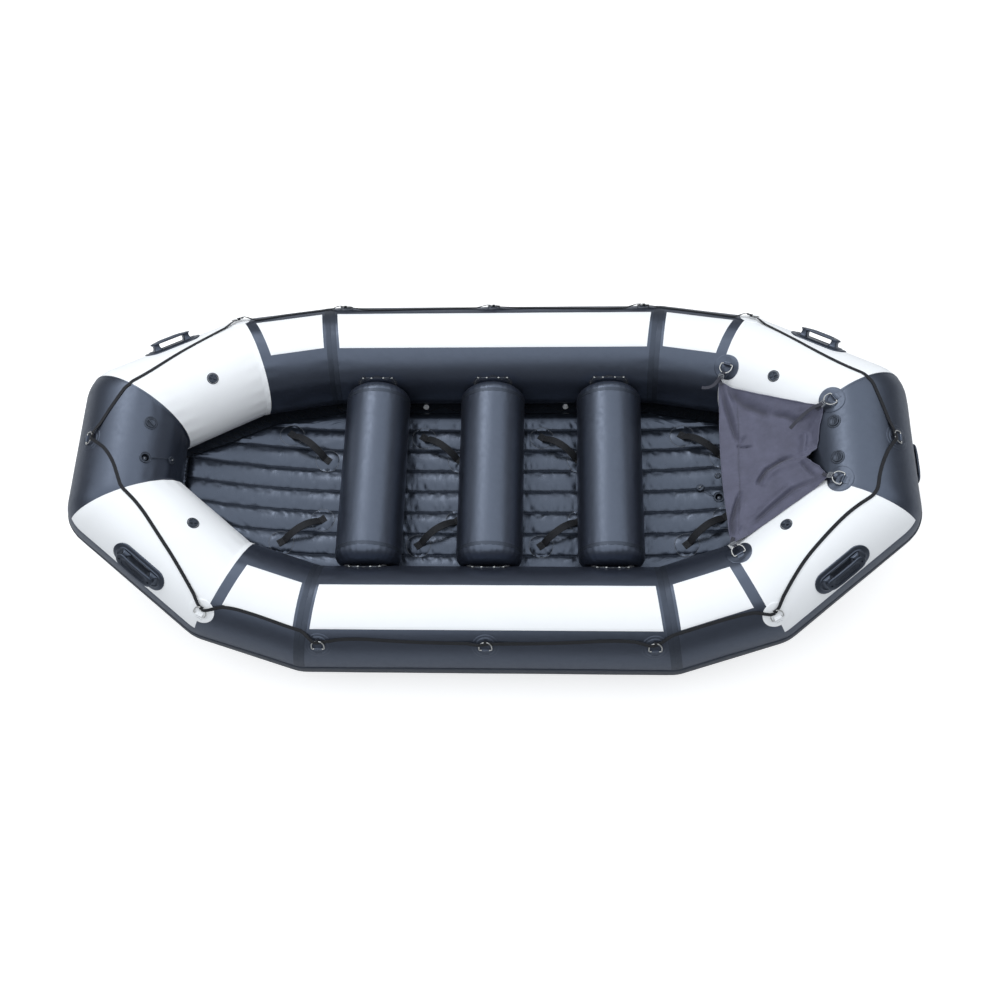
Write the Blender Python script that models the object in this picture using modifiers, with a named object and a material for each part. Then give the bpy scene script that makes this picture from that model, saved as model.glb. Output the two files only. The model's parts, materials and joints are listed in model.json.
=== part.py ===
"""Whitewater raft: twelve mitred inflated tubes, three thwarts, a self-bailing floor and its fittings.

Metres, +Z up. +X is the bow, where the stow bag hangs, and +Y is port. The origin is on the ground under
the raft's centre. Angles round a tube are 0 outboard, 90 on top, 180 inboard and -90 underneath.
"""
import math

import bmesh
import bpy
from mathutils import Matrix, Vector

# Hull tubes: radius, and the corners of the ring's centre line
TUBE_RADIUS = 0.250
SIDE_HALF_LENGTH = 0.845
SIDE_HALF_BEAM = 0.718
QUARTER_END_X = 1.265
QUARTER_END_Y = 0.602
QUARTER_RISE = 0.081
CORNER_END_X = 1.733
CORNER_END_Y = 0.241
CORNER_RISE = 0.263
TUBE_FACETS = 40

# Clearances
FIT_GAP = 0.0003
RUNNING_GAP = 0.0006
OVERRUN = 0.001

# White wear panels on top of the side and quarter tubes
PANEL_INBOARD_ANGLE = 111.0
PANEL_OUTBOARD_ANGLE = 61.5
PANEL_THICKNESS = 0.0012
PANEL_ROOT = 0.003
SIDE_PANEL_MARGIN = 0.039
QUARTER_PANEL_MARGIN = 0.071
PANEL_STEPS = 6

# Rub strake
STRAKE_TOP_ANGLE = 8.0
STRAKE_BOTTOM_ANGLE = -14.0
STRAKE_THICKNESS = 0.006
STRAKE_RIBS = 2
STRAKE_RIB_HEIGHT = 0.0015
STRAKE_BACK_STEPS = 4
STRAKE_EDGE_SHARE = 0.5

# Welded steel D-rings, their reinforcing pads and the webbing tunnel that holds each one
WIRE_RADIUS = 0.003
RING_HALF_WIDTH = 0.029
RING_LEG = 0.018
RING_CORNER_RADIUS = 0.006
RING_TILT = 12.0
BAG_RING_TILT = 25.0
PAD_RADIUS = 0.062
PAD_THICKNESS = 0.0020
PAD_ROOT = 0.012
PAD_SIDES = 16
TUNNEL_ROOT = 0.004
BAR_OFFSET = 0.015
TUNNEL_LENGTH = 0.034
TUNNEL_WALL = 0.0020
RING_SWING = 75.0
SIDE_RING_FROM_SEAM = 0.079
SIDE_PAD_ANGLE = 43.0
CORNER_PAD_ANGLE = 52.0
END_PAD_ANGLE = 60.0
BAG_PAD_ANGLE_AFT = 125.0
BAG_PAD_ANGLE_FORE = 125.5
BAG_PAD_FROM_MITRE = 0.010

# Carry handles
HANDLE_LENGTH = 0.290
HANDLE_WIDTH = 0.115
HANDLE_BASE_THICKNESS = 0.0050
HANDLE_BASE_RIM = 0.022
HANDLE_RIM_HEIGHT = 0.0025
GRIP_LENGTH = 0.206
GRIP_WIDTH = 0.046
GRIP_TOP = 0.045
GRIP_THICKNESS = 0.012
GRIP_CROWN = 0.005
GRIP_SLOT_LENGTH = 0.110
GRIP_SLOT_WIDTH = 0.018
GRIP_SLOT_DEPTH = 0.004
POST_SPACING = 0.150
POST_THICKNESS = 0.018
HANDLE_ALONG_CORNER = 0.331
HANDLE_ANGLE = 43.0
END_HANDLE_ANGLE = -14.0

# Inflation valves
CORNER_VALVE_FROM_SEAM = 0.281
CORNER_VALVE_ANGLE = 119.5
CORNER_CAP_RADIUS = 0.0235
END_VALVE_Y = 0.090
END_VALVE_ANGLE = 126.0
END_CAP_RADIUS = 0.0240
VALVE_RIM_CORNER = 0.0030
VALVE_RIM_END = 0.0085
VALVE_FLANGE = 0.0022
CAP_DEPTH = 0.007
CAP_PROUD = 0.0040
CAP_BAR_WIDTH = 0.007
CAP_BAR_HEIGHT = 0.0035
CAP_TURN = 90.0
VALVE_BORE_RADIUS = 0.0190
VALVE_BORE_DEPTH = 0.030
POPPET_DEPTH = 0.010
POPPET_RADIUS = 0.0110
POPPET_THICKNESS = 0.003
POPPET_STEM_RADIUS = 0.0030
POPPET_GUIDE_DEPTH = 0.016
POPPET_STEM_INSIDE = 0.008
POPPET_TRAVEL = 0.005
LOOSE_CAP_RADIUS = 0.0185
LOOSE_CAP_THICKNESS = 0.009
TETHER_WIDTH = 0.006
TETHER_THICKNESS = 0.0016
TETHER_STEPS = 8
TETHER_ARCH = 0.0144
LOOSE_CAP_ANGLE = 156.0
LOOSE_CAP_FROM_VALVE = 0.030
CORNER_CAP_BARS = (45.0, 135.0)
END_CAP_BARS = (35.0,)

# Thwarts
THWART_RADIUS = 0.160
THWART_X = 0.585
THWART_CLEAR_OF_FLOOR = 0.0082
THWART_DOME = 0.085
DOME_ANGLES = (30.0, 52.0, 72.0, 90.0)
THWART_FACETS = 24
THWART_FOOT_WIDTH = 0.150
THWART_FOOT_HEIGHT = 0.156
THWART_FOOT_REACH = 0.120

# Self-bailing I-beam floor
CHAMBERS = 8
CHAMBER_PITCH = 0.116
FLOOR_CLEAR_OF_GROUND = 0.008
FLOOR_CREST_THICKNESS = 0.118
FLOOR_WEB_THICKNESS = 0.084
FLOOR_INSET = 0.254
FLOOR_END_FROM_AXIS = 0.193
FLOOR_END_INSET = 0.121
FLANGE_HEIGHT = 0.060
FLANGE_THICKNESS = 0.003
FLANGE_END_FROM_AXIS = 0.168
DRAIN_RADIUS = 0.009
DRAIN_PITCH = 0.370
DRAINS_PER_SIDE = 5
DRAIN_FROM_TUBE_AXIS = 0.205
SIDE_BEND_BEFORE = 0.120
SIDE_BEND_AFTER = 0.080
QUARTER_BEND_BEFORE = 0.080
QUARTER_BEND_AFTER = 0.100
LAST_STATION_FROM_AXIS = 0.133
# The skin of one chamber, as (share of the pitch, share of the swell)
CHAMBER_SHARES = ((0.0, 0.0), (0.18, 0.77), (0.50, 1.0), (0.82, 0.77), (1.0, 0.0))

# Foot straps
STRAP_AFT_OF_STERN_THWART = 0.370
STRAP_AFT_OF_CENTRE = 0.270
STRAP_FORE_OF_CENTRE = 0.343
STRAP_FORE_OF_BOW_THWART = 0.475
FOOT_STRAP_RUN = 0.166
FOOT_STRAP_HEIGHT = 0.062
FOOT_STRAP_WIDTH = 0.038
FOOT_STRAP_THICKNESS = 0.003
FOOT_STRAP_TAB = 0.034
FOOT_STRAP_STEPS = 8
FOOT_STRAP_POWER = 0.75
OUTER_FOOT_CREST = 2.5
INNER_FOOT_CREST = 1.5

# Grab line: flat webbing
LINE_WIDTH = 0.016
LINE_THICKNESS = 0.003
LINE_FROM_BAR = 0.029
LINE_CLEAR = 0.0009
LINE_LAY_HEIGHT = 0.0036
LINE_ANGLE_AT_SIDE_SEAM = 55.0
LINE_ANGLE_ALONG_SIDE = 48.0
LINE_ANGLE_BY_END_RING = 69.0
LINE_ANGLE_STEP_AT_CORNER = 4.0
# Angles round the tubes at the line's turning points, by end and side: at the quarter's fore mitre, halfway
# along the corner tube and at the corner tube's end mitre
LINE_ANGLES = {
    ("bow", "port"): (56.0, 64.0, 84.0),
    ("bow", "starboard"): (58.0, 76.0, 91.0),
    ("stern", "port"): (62.0, 75.0, 96.0),
    ("stern", "starboard"): (62.0, 86.0, 106.0),
}
# Where the line crosses a ring and leaves it, as shares of the ring's half width
LINE_NEAR_SHARE = 0.62
LINE_FAR_SHARE = 1.35
END_LEAD_SHARE = 2.2
CORNER_LEAD_SHARE = 2.0
SIDE_LEAD_SHARE = 2.6

# Stow bag, hung from four D-rings under the bow.
# How far its corners lie from the rings' tips: aft of them, inboard and down
BAG_AFT_CORNER_AFT = 0.0109
BAG_AFT_CORNER_INBOARD = 0.0243
BAG_AFT_CORNER_DOWN = 0.0322
BAG_FORE_CORNER_AFT = 0.0147
BAG_FORE_CORNER_INBOARD = 0.0061
BAG_FORE_CORNER_DOWN = 0.0191
BAG_MOUTH_CURVE = 0.072
BAG_WAIST_SHARE = 0.10
# The sag's share at the sides' level, its swing, and where the swing starts and how far it runs
BAG_SAG_SHARES = (0.45, 0.55, 0.25, 0.6)
BAG_FILL_SHARE = 1.5
BAG_ROWS = 6
BAG_COLUMNS = 9
BAG_SAG = 0.060
BAG_DEPTH = 0.060
BAG_SEAM_THICKNESS = 0.007
BAG_WALL = 0.002
BAG_STRAP_WIDTH = 0.018
BAG_STRAP_THICKNESS = 0.0024
BUCKLE_LENGTH = 0.024
BUCKLE_WIDTH = 0.024
BUCKLE_THICKNESS = 0.0075
STRAP_LOOP_GAP = 0.0063
BUCKLE_PLACE_SHARE = 0.5
TAIL_BEND_SHARE = 0.3

# Floor valve, its loose cap and the relief valve beside it
FLOOR_VALVE_FROM_SEAM = 0.135
FLOOR_CAP_FROM_VALVE = 0.085
RELIEF_VALVE_RADIUS = 0.016
RELIEF_VALVE_HEIGHT = 0.006

# Places that follow from the sizes above. A tube has a flat facet underneath, where the raft's weight
# presses it on the ground
AXIS_HEIGHT = TUBE_RADIUS * math.cos(math.pi / TUBE_FACETS)
THWART_AXIS_HEIGHT = FLOOR_CLEAR_OF_GROUND + FLOOR_CREST_THICKNESS + THWART_CLEAR_OF_FLOOR + THWART_RADIUS
FLOOR_END_X = CORNER_END_X - FLOOR_END_FROM_AXIS
FLOOR_END_HALF_WIDTH = CORNER_END_Y - FLOOR_END_INSET
FLANGE_END_X = CORNER_END_X - FLANGE_END_FROM_AXIS
FLOOR_STATIONS = (
    SIDE_HALF_LENGTH - SIDE_BEND_BEFORE,
    SIDE_HALF_LENGTH + SIDE_BEND_AFTER,
    QUARTER_END_X - QUARTER_BEND_BEFORE,
    QUARTER_END_X + QUARTER_BEND_AFTER,
    CORNER_END_X - LAST_STATION_FROM_AXIS,
)
FOOT_STRAP_X = (
    -THWART_X - STRAP_AFT_OF_STERN_THWART,
    -STRAP_AFT_OF_CENTRE,
    STRAP_FORE_OF_CENTRE,
    THWART_X + STRAP_FORE_OF_BOW_THWART,
)
FLOOR_VALVE_X = QUARTER_END_X - FLOOR_VALVE_FROM_SEAM
FLOOR_CAP_X = FLOOR_VALVE_X - FLOOR_CAP_FROM_VALVE
LINE_RING_LAY_HEIGHT = 2 * LINE_LAY_HEIGHT
SMOOTH_ANGLE = 35.0
UP = Vector((0.0, 0.0, 1.0))
BOW, STERN = 1, -1
PORT, STARBOARD = 1, -1
FORE_NAME = {BOW: "bow", STERN: "stern"}
SIDE_NAME = {PORT: "port", STARBOARD: "starboard"}


def clear_scene():
    for item in list(bpy.data.objects):
        bpy.data.objects.remove(item, do_unlink=True)


def make_collection():
    collection = bpy.data.collections.new("whitewater_raft")
    bpy.context.scene.collection.children.link(collection)
    return collection


def make_material(name, colour, roughness, metallic=0.0):
    material = bpy.data.materials.new(name)
    material.use_nodes = True
    shader = material.node_tree.nodes["Principled BSDF"]
    shader.inputs["Base Color"].default_value = (*colour, 1.0)
    shader.inputs["Roughness"].default_value = roughness
    shader.inputs["Metallic"].default_value = metallic
    return material


def make_materials():
    return {
        "black": make_material("black_pvc", (0.030, 0.034, 0.042), 0.45),
        "white": make_material("white_pvc", (0.82, 0.84, 0.88), 0.40),
        "strake": make_material("strake_rubber", (0.022, 0.025, 0.030), 0.55),
        "floor": make_material("floor_pvc", (0.035, 0.042, 0.055), 0.38),
        "rubber": make_material("handle_rubber", (0.018, 0.019, 0.022), 0.60),
        "steel": make_material("stainless_steel", (0.62, 0.62, 0.60), 0.22, 1.0),
        "webbing": make_material("black_webbing", (0.016, 0.016, 0.018), 0.85),
        "valve": make_material("valve_plastic", (0.035, 0.038, 0.045), 0.50),
        "bag": make_material("grey_bag_cloth", (0.095, 0.090, 0.115), 0.90),
    }


def placed(x_way, y_way, origin):
    """The matrix of a frame with its X along x_way, its Y towards y_way and its Z square to both."""
    x_axis = x_way.normalized()
    z_axis = x_axis.cross(y_way).normalized()
    y_axis = z_axis.cross(x_axis)
    turn = Matrix((x_axis, y_axis, z_axis)).transposed().to_4x4()
    return Matrix.Translation(origin) @ turn


def link(name, mesh, material, collection):
    item = bpy.data.objects.new(name, mesh)
    if not mesh.materials:
        mesh.materials.append(material)
    collection.objects.link(item)
    return item


def from_bmesh(name, bm, material, collection):
    bmesh.ops.recalc_face_normals(bm, faces=bm.faces)
    mesh = bpy.data.meshes.new(name)
    bm.to_mesh(mesh)
    bm.free()
    return link(name, mesh, material, collection)


def baked(item):
    """Applies an object's modifiers, or turns a curve into a mesh with its caps welded."""
    bpy.context.view_layer.update()
    evaluated = item.evaluated_get(bpy.context.evaluated_depsgraph_get())
    mesh = bpy.data.meshes.new_from_object(evaluated)
    if item.type == "MESH":
        item.modifiers.clear()
        item.data = mesh
        return item
    bm = bmesh.new()
    bm.from_mesh(mesh)
    bmesh.ops.remove_doubles(bm, verts=bm.verts, dist=FIT_GAP / 10)
    bmesh.ops.recalc_face_normals(bm, faces=bm.faces)
    bm.to_mesh(mesh)
    bm.free()
    name = item.name
    solid = bpy.data.objects.new(name, mesh)
    solid.matrix_world = item.matrix_world.copy()
    item.users_collection[0].objects.link(solid)
    bpy.data.objects.remove(item)
    solid.name = name
    return solid


def is_closed(mesh):
    bm = bmesh.new()
    bm.from_mesh(mesh)
    closed = all(edge.is_manifold and edge.is_contiguous for edge in bm.edges)
    bm.free()
    return closed


def combine(item, tool, operation):
    """A Boolean of item with tool, which is used up. The second solver serves where one leaves a hole."""
    modifier = item.modifiers.new(operation.lower(), "BOOLEAN")
    modifier.operation = operation
    modifier.object = tool
    for solver in ("EXACT", "MANIFOLD"):
        modifier.solver = solver
        bpy.context.view_layer.update()
        evaluated = item.evaluated_get(bpy.context.evaluated_depsgraph_get())
        mesh = bpy.data.meshes.new_from_object(evaluated)
        if is_closed(mesh):
            break
    item.modifiers.clear()
    item.data = mesh
    bpy.data.objects.remove(tool)
    return item


def extruded(name, outline, half_depth, matrix, material, collection):
    """A flat outline in the frame's XY, thick by half_depth each way along its Z."""
    curve = bpy.data.curves.new(name, "CURVE")
    curve.dimensions = "2D"
    curve.fill_mode = "BOTH"
    curve.extrude = half_depth
    spline = curve.splines.new("POLY")
    spline.points.add(len(outline) - 1)
    for point, place in zip(spline.points, outline):
        point.co = (place[0], place[1], 0.0, 1.0)
    spline.use_cyclic_u = True
    curve.materials.append(material)
    item = bpy.data.objects.new(name, curve)
    item.matrix_world = matrix
    collection.objects.link(item)
    return baked(item)


def round_bar(name, radius, low, high, sides, matrix, material, collection, top_radius=None):
    """A cylinder, or a cone, along the frame's Z from low to high."""
    bm = bmesh.new()
    bmesh.ops.create_cone(
        bm,
        cap_ends=True,
        segments=sides,
        radius1=radius,
        radius2=radius if top_radius is None else top_radius,
        depth=high - low,
        matrix=matrix @ Matrix.Translation((0.0, 0.0, (low + high) / 2)),
    )
    return from_bmesh(name, bm, material, collection)


def turned(name, profile, steps, matrix, material, collection):
    """A profile of (radius, height) pairs, from the top's axis to the bottom's, turned about Z."""
    mesh = bpy.data.meshes.new(name)
    points = [(radius, 0.0, height) for radius, height in profile]
    mesh.from_pydata(points, [(n, n + 1) for n in range(len(points) - 1)], [])
    item = link(name, mesh, material, collection)
    screw = item.modifiers.new("turn", "SCREW")
    screw.steps = steps
    screw.render_steps = steps
    screw.use_merge_vertices = True
    screw.merge_threshold = FIT_GAP / 10
    screw.use_normal_calculate = True
    item.matrix_world = matrix
    return baked(item)


def arc(radius, angles):
    """Points on a circle about the origin, at angles in degrees."""
    return [(radius * math.cos(math.radians(a)), radius * math.sin(math.radians(a))) for a in angles]


def stadium(length, width, steps=6):
    """The outline of a bar with round ends, lying along X."""
    radius = width / 2
    reach = length / 2 - radius
    outline = []
    for side in (1, -1):
        for n in range(steps + 1):
            turn = math.radians(-90 + 180 * n / steps)
            outline.append((side * (reach + radius * math.cos(turn)), side * radius * math.sin(turn)))
    return outline


def smooth(item):
    item.data.shade_smooth()
    item.data.set_sharp_from_angle(angle=math.radians(SMOOTH_ANGLE))


def band(points, normals, width, thickness, closed):
    """Webbing along points: a flat strip whose thickness lies along the normals."""
    bm = bmesh.new()
    count = len(points)
    rings = []
    for n, (point, normal) in enumerate(zip(points, normals)):
        before = points[(n - 1) % count] if closed or n else point
        after = points[(n + 1) % count] if closed or n < count - 1 else point
        run = (after - before).normalized()
        across = run.cross(normal).normalized()
        out = across.cross(run).normalized()
        corners = ((1, 1), (-1, 1), (-1, -1), (1, -1))
        rings.append([
            bm.verts.new(point + across * (width / 2 * a) + out * (thickness / 2 * b)) for a, b in corners
        ])
    last = count if closed else count - 1
    for n in range(last):
        here = rings[n]
        there = rings[(n + 1) % count]
        for k in range(4):
            bm.faces.new((here[k], here[(k + 1) % 4], there[(k + 1) % 4], there[k]))
    if not closed:
        bm.faces.new(rings[0])
        bm.faces.new(list(reversed(rings[-1])))
    return bm


class Tube:
    """One straight length of the hull ring, between two mitre planes."""

    def __init__(self, name, start, end, start_mitre, end_mitre):
        self.name = name
        self.start = start
        self.end = end
        self.length = (end - start).length
        self.along = (end - start).normalized()
        self.up = (UP - self.along * self.along.z).normalized()
        outward = self.along.cross(self.up)
        middle = (start + end) / 2
        self.out = outward if outward.dot(Vector((middle.x, middle.y, 0.0))) > 0 else -outward
        self.mitres = ((start, -start_mitre), (end, end_mitre))

    def normal(self, angle):
        turn = math.radians(angle)
        return self.out * math.cos(turn) + self.up * math.sin(turn)

    def round_way(self, angle):
        return self.normal(angle + 90.0)

    def point(self, along, angle, height=0.0):
        return self.start + self.along * along + self.normal(angle) * (TUBE_RADIUS + height)

    def along_at_mitre(self, which, angle, height=0.0):
        place, mitre = self.mitres[which]
        base = self.point(0.0, angle, height)
        return (place - base).dot(mitre) / self.along.dot(mitre)

    def solid(self, radius, overrun, material, collection):
        """A round bar on the tube's axis, ending overrun past both mitres."""
        reach = self.length + 4 * TUBE_RADIUS
        frame = placed(self.out, self.up, (self.start + self.end) / 2)
        bm = bmesh.new()
        bmesh.ops.create_cone(
            bm,
            cap_ends=True,
            segments=TUBE_FACETS,
            radius1=radius,
            radius2=radius,
            depth=reach,
            matrix=frame @ Matrix.Rotation(math.pi / TUBE_FACETS, 4, "Z"),
        )
        for place, mitre in self.mitres:
            cut(bm, place + mitre * overrun, mitre)
        return from_bmesh(self.name, bm, material, collection)


def cut(bm, place, normal):
    """Cuts away what lies past a plane and closes the face there."""
    everything = list(bm.verts) + list(bm.edges) + list(bm.faces)
    bmesh.ops.bisect_plane(bm, geom=everything, plane_co=place, plane_no=normal, clear_outer=True)
    bmesh.ops.holes_fill(bm, edges=[edge for edge in bm.edges if edge.is_boundary])


def ring_corner(fore, side, number):
    """A corner of the hull's centre line, counted from midships."""
    xs = (SIDE_HALF_LENGTH, QUARTER_END_X, CORNER_END_X)
    ys = (SIDE_HALF_BEAM, QUARTER_END_Y, CORNER_END_Y)
    rises = (0.0, QUARTER_RISE, CORNER_RISE)
    return Vector((fore * xs[number], side * ys[number], AXIS_HEIGHT + rises[number]))


def ring_mitre(fore, side, number):
    """The unit normal of the mitre at a corner, pointing away from midships."""
    here = ring_corner(fore, side, number)
    before = Vector((fore, 0.0, 0.0)) if number == 0 else here - ring_corner(fore, side, number - 1)
    after = Vector((0.0, -side, 0.0)) if number == 2 else ring_corner(fore, side, number + 1) - here
    return (before.normalized() + after.normalized()).normalized()


def make_tubes():
    tubes = {}
    for side in (PORT, STARBOARD):
        tubes["side", side] = Tube(
            f"side_tube_{SIDE_NAME[side]}",
            ring_corner(STERN, side, 0),
            ring_corner(BOW, side, 0),
            -ring_mitre(STERN, side, 0),
            ring_mitre(BOW, side, 0),
        )
        for fore in (BOW, STERN):
            for number, kind in ((0, "quarter"), (1, "corner")):
                tubes[kind, fore, side] = Tube(
                    f"{kind}_tube_{FORE_NAME[fore]}_{SIDE_NAME[side]}",
                    ring_corner(fore, side, number),
                    ring_corner(fore, side, number + 1),
                    ring_mitre(fore, side, number),
                    ring_mitre(fore, side, number + 1),
                )
    for fore in (BOW, STERN):
        tubes["end", fore] = Tube(
            f"end_tube_{FORE_NAME[fore]}",
            ring_corner(fore, STARBOARD, 2),
            ring_corner(fore, PORT, 2),
            ring_mitre(fore, STARBOARD, 2),
            -ring_mitre(fore, PORT, 2),
        )
    return tubes


class Seat:
    """A place on the hull where a D-ring hangs: its frame and the tubes under it."""

    def __init__(self, name, owner, neighbour, centre, normal, bar_way, inboard):
        self.name = name
        self.owner = owner
        self.neighbour = neighbour
        self.centre = centre
        self.normal = normal
        self.bar_way = (bar_way - normal * bar_way.dot(normal)).normalized()
        # the way from the bar to the ring's tip, up and over the tube
        self.tip_way = inboard - self.bar_way * inboard.dot(self.bar_way)
        self.tip_way = (self.tip_way - normal * self.tip_way.dot(normal)).normalized()
        self.lift = self.find_lift()
        self.bar = centre - self.tip_way * BAR_OFFSET + normal * self.lift

    def find_lift(self):
        """How high the bar stands, so that it clears the pads of both tubes along its whole length."""
        need = 0.0
        clear = TUBE_RADIUS + PAD_THICKNESS + WIRE_RADIUS + 2 * RUNNING_GAP
        for tube in (self.owner, self.neighbour):
            if tube is None:
                continue
            for reach in (-RING_HALF_WIDTH, 0.0, RING_HALF_WIDTH):
                place = self.centre - self.tip_way * BAR_OFFSET + self.bar_way * reach
                offset = place - tube.start
                from_axis = (offset - tube.along * offset.dot(tube.along)).length
                need = max(need, clear - from_axis)
        return need

    def tilted(self, tilt):
        """The ring's own way from bar to tip and its normal, at a tilt off the tube."""
        turn = math.radians(tilt)
        way = self.tip_way * math.cos(turn) + self.normal * math.sin(turn)
        face = self.normal * math.cos(turn) - self.tip_way * math.sin(turn)
        return way, face


def make_seats(tubes):
    """The twelve seats of the grab line's rings and the four of the stow bag's."""
    outer = []
    bag = []
    for side in (PORT, STARBOARD):
        tube = tubes["side", side]
        for label, along in (
            ("stern", SIDE_RING_FROM_SEAM),
            ("mid", tube.length / 2),
            ("bow", tube.length - SIDE_RING_FROM_SEAM),
        ):
            outer.append(Seat(
                f"d_ring_{label}_side_{SIDE_NAME[side]}",
                tube,
                None,
                tube.point(along, SIDE_PAD_ANGLE),
                tube.normal(SIDE_PAD_ANGLE),
                tube.along,
                tube.round_way(SIDE_PAD_ANGLE),
            ))
        for fore in (BOW, STERN):
            corner = tubes["corner", fore, side]
            quarter = tubes["quarter", fore, side]
            along = corner.along_at_mitre(0, CORNER_PAD_ANGLE)
            centre = corner.point(along, CORNER_PAD_ANGLE)
            outer.append(Seat(
                f"d_ring_corner_{FORE_NAME[fore]}_{SIDE_NAME[side]}",
                corner,
                quarter,
                centre,
                shared_normal(corner, quarter, centre),
                corner.along + quarter.along,
                corner.round_way(CORNER_PAD_ANGLE),
            ))
    for fore in (BOW, STERN):
        tube = tubes["end", fore]
        outer.append(Seat(
            f"d_ring_end_{FORE_NAME[fore]}",
            tube,
            None,
            tube.point(tube.length / 2, END_PAD_ANGLE),
            tube.normal(END_PAD_ANGLE),
            tube.along,
            tube.round_way(END_PAD_ANGLE),
        ))
    for side in (PORT, STARBOARD):
        quarter = tubes["quarter", BOW, side]
        corner = tubes["corner", BOW, side]
        end = tubes["end", BOW]
        centre = quarter.point(quarter.along_at_mitre(1, BAG_PAD_ANGLE_AFT), BAG_PAD_ANGLE_AFT)
        bag.append(Seat(
            f"bag_ring_aft_{SIDE_NAME[side]}",
            quarter,
            corner,
            centre,
            shared_normal(quarter, corner, centre),
            corner.along + quarter.along,
            quarter.round_way(BAG_PAD_ANGLE_AFT),
        ))
        which = 1 if side == PORT else 0
        inward = -side * BAG_PAD_FROM_MITRE
        centre = end.point(end.along_at_mitre(which, BAG_PAD_ANGLE_FORE) + inward, BAG_PAD_ANGLE_FORE)
        bag.append(Seat(
            f"bag_ring_fore_{SIDE_NAME[side]}",
            end,
            corner,
            centre,
            shared_normal(end, corner, centre),
            end.along * -side + corner.along,
            end.round_way(BAG_PAD_ANGLE_FORE),
        ))
    return outer, bag


def shared_normal(one, other, place):
    """The mean of two tubes' surface normals at a place on their mitre."""
    total = Vector((0.0, 0.0, 0.0))
    for tube in (one, other):
        offset = place - tube.start
        total += (offset - tube.along * offset.dot(tube.along)).normalized()
    return total.normalized()


def pad_and_tunnel(seat, hull, materials, collection):
    """Fuses a ring's stepped round pad and its webbing tunnel to the tube that carries them."""
    owner = seat.owner
    skin = hull.data.materials[0]
    face = placed(seat.bar_way, seat.tip_way, seat.centre)
    if (face.to_3x3() @ Vector((0.0, 0.0, 1.0))).dot(seat.normal) < 0:
        face = placed(-seat.bar_way, seat.tip_way, seat.centre)
    envelope = owner.solid(TUBE_RADIUS + PAD_THICKNESS, OVERRUN, skin, collection)
    if seat.neighbour is not None:
        other = seat.neighbour.solid(TUBE_RADIUS + PAD_THICKNESS, OVERRUN, skin, collection)
        combine(envelope, other, "UNION")
    reach = PAD_ROOT + seat.lift
    fitting = round_bar("pad", PAD_RADIUS, -reach, reach, PAD_SIDES, face, skin, collection)
    combine(fitting, envelope, "INTERSECT")
    half = WIRE_RADIUS + RUNNING_GAP + TUNNEL_WALL
    outline = arc(half, range(0, 181, 45))
    root = seat.lift + TUNNEL_ROOT
    outline += [(-half, -root), (half, -root)]
    bar_frame = placed(seat.tip_way, seat.normal, seat.bar)
    tunnel = extruded("tunnel", outline, TUNNEL_LENGTH / 2, bar_frame, skin, collection)
    fitting = combine(fitting, tunnel, "UNION")
    if seat.neighbour is not None:
        clear = seat.neighbour.solid(TUBE_RADIUS + FIT_GAP, 0.0, skin, collection)
        combine(fitting, clear, "DIFFERENCE")
    combine(hull, fitting, "UNION")
    bore = WIRE_RADIUS + RUNNING_GAP
    reach = TUNNEL_LENGTH / 2 + OVERRUN
    combine(hull, round_bar("bore", bore, -reach, reach, 8, bar_frame, skin, collection), "DIFFERENCE")


def d_ring(seat, tilt, materials, collection):
    """A bent and welded wire D: a straight bar, two short legs and a half round."""
    points = []
    reach = RING_HALF_WIDTH
    bend = RING_CORNER_RADIUS
    points.append((reach - bend, 0.0))
    points.append((reach, bend))
    for n in range(8):
        angle = math.radians(180 * n / 7)
        points.append((reach * math.cos(angle), RING_LEG + reach * math.sin(angle)))
    points.append((-reach, bend))
    points.append((-reach + bend, 0.0))
    curve = bpy.data.curves.new(seat.name, "CURVE")
    curve.dimensions = "3D"
    curve.bevel_depth = WIRE_RADIUS
    curve.bevel_resolution = 1
    spline = curve.splines.new("POLY")
    spline.points.add(len(points) - 1)
    for point, place in zip(spline.points, points):
        point.co = (place[0], place[1], 0.0, 1.0)
    spline.use_cyclic_u = True
    curve.materials.append(materials["steel"])
    ring = bpy.data.objects.new(seat.name, curve)
    way, _ = seat.tilted(tilt)
    ring.matrix_world = placed(seat.bar_way, way, seat.bar)
    collection.objects.link(ring)
    return baked(ring)


def panel_slab(tube, margins, material, collection):
    """A white wear panel: a shallow arc of sheet on the tube, standing off each mitre by its margin."""
    sweep = PANEL_INBOARD_ANGLE - PANEL_OUTBOARD_ANGLE
    angles = [PANEL_OUTBOARD_ANGLE + sweep * n / PANEL_STEPS for n in range(PANEL_STEPS + 1)]
    outline = arc(TUBE_RADIUS + PANEL_THICKNESS, angles)
    outline += arc(TUBE_RADIUS - PANEL_ROOT, reversed(angles))
    frame = placed(tube.out, tube.up, (tube.start + tube.end) / 2)
    slab = extruded("panel", outline, tube.length / 2 + TUBE_RADIUS, frame, material, collection)
    bm = bmesh.new()
    bm.from_mesh(slab.data)
    bm.transform(slab.matrix_world)
    slab.matrix_world = Matrix.Identity(4)
    for (place, mitre), margin in zip(tube.mitres, margins):
        cut(bm, place - mitre * margin, mitre)
    bmesh.ops.recalc_face_normals(bm, faces=bm.faces)
    bm.to_mesh(slab.data)
    bm.free()
    return slab


def valve_seat(hull, frame, rim_radius, bore_radius, depth, surface, collection):
    """A round flange that follows the tube, with a bore down its middle."""
    skin = hull.data.materials[0]
    flange = round_bar("flange", rim_radius, -PAD_ROOT, PAD_ROOT, 24, frame, skin, collection)
    combine(flange, surface, "INTERSECT")
    combine(hull, flange, "UNION")
    bore = round_bar("bore", bore_radius, -depth, PAD_ROOT, 24, frame, skin, collection)
    combine(hull, bore, "DIFFERENCE")


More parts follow.
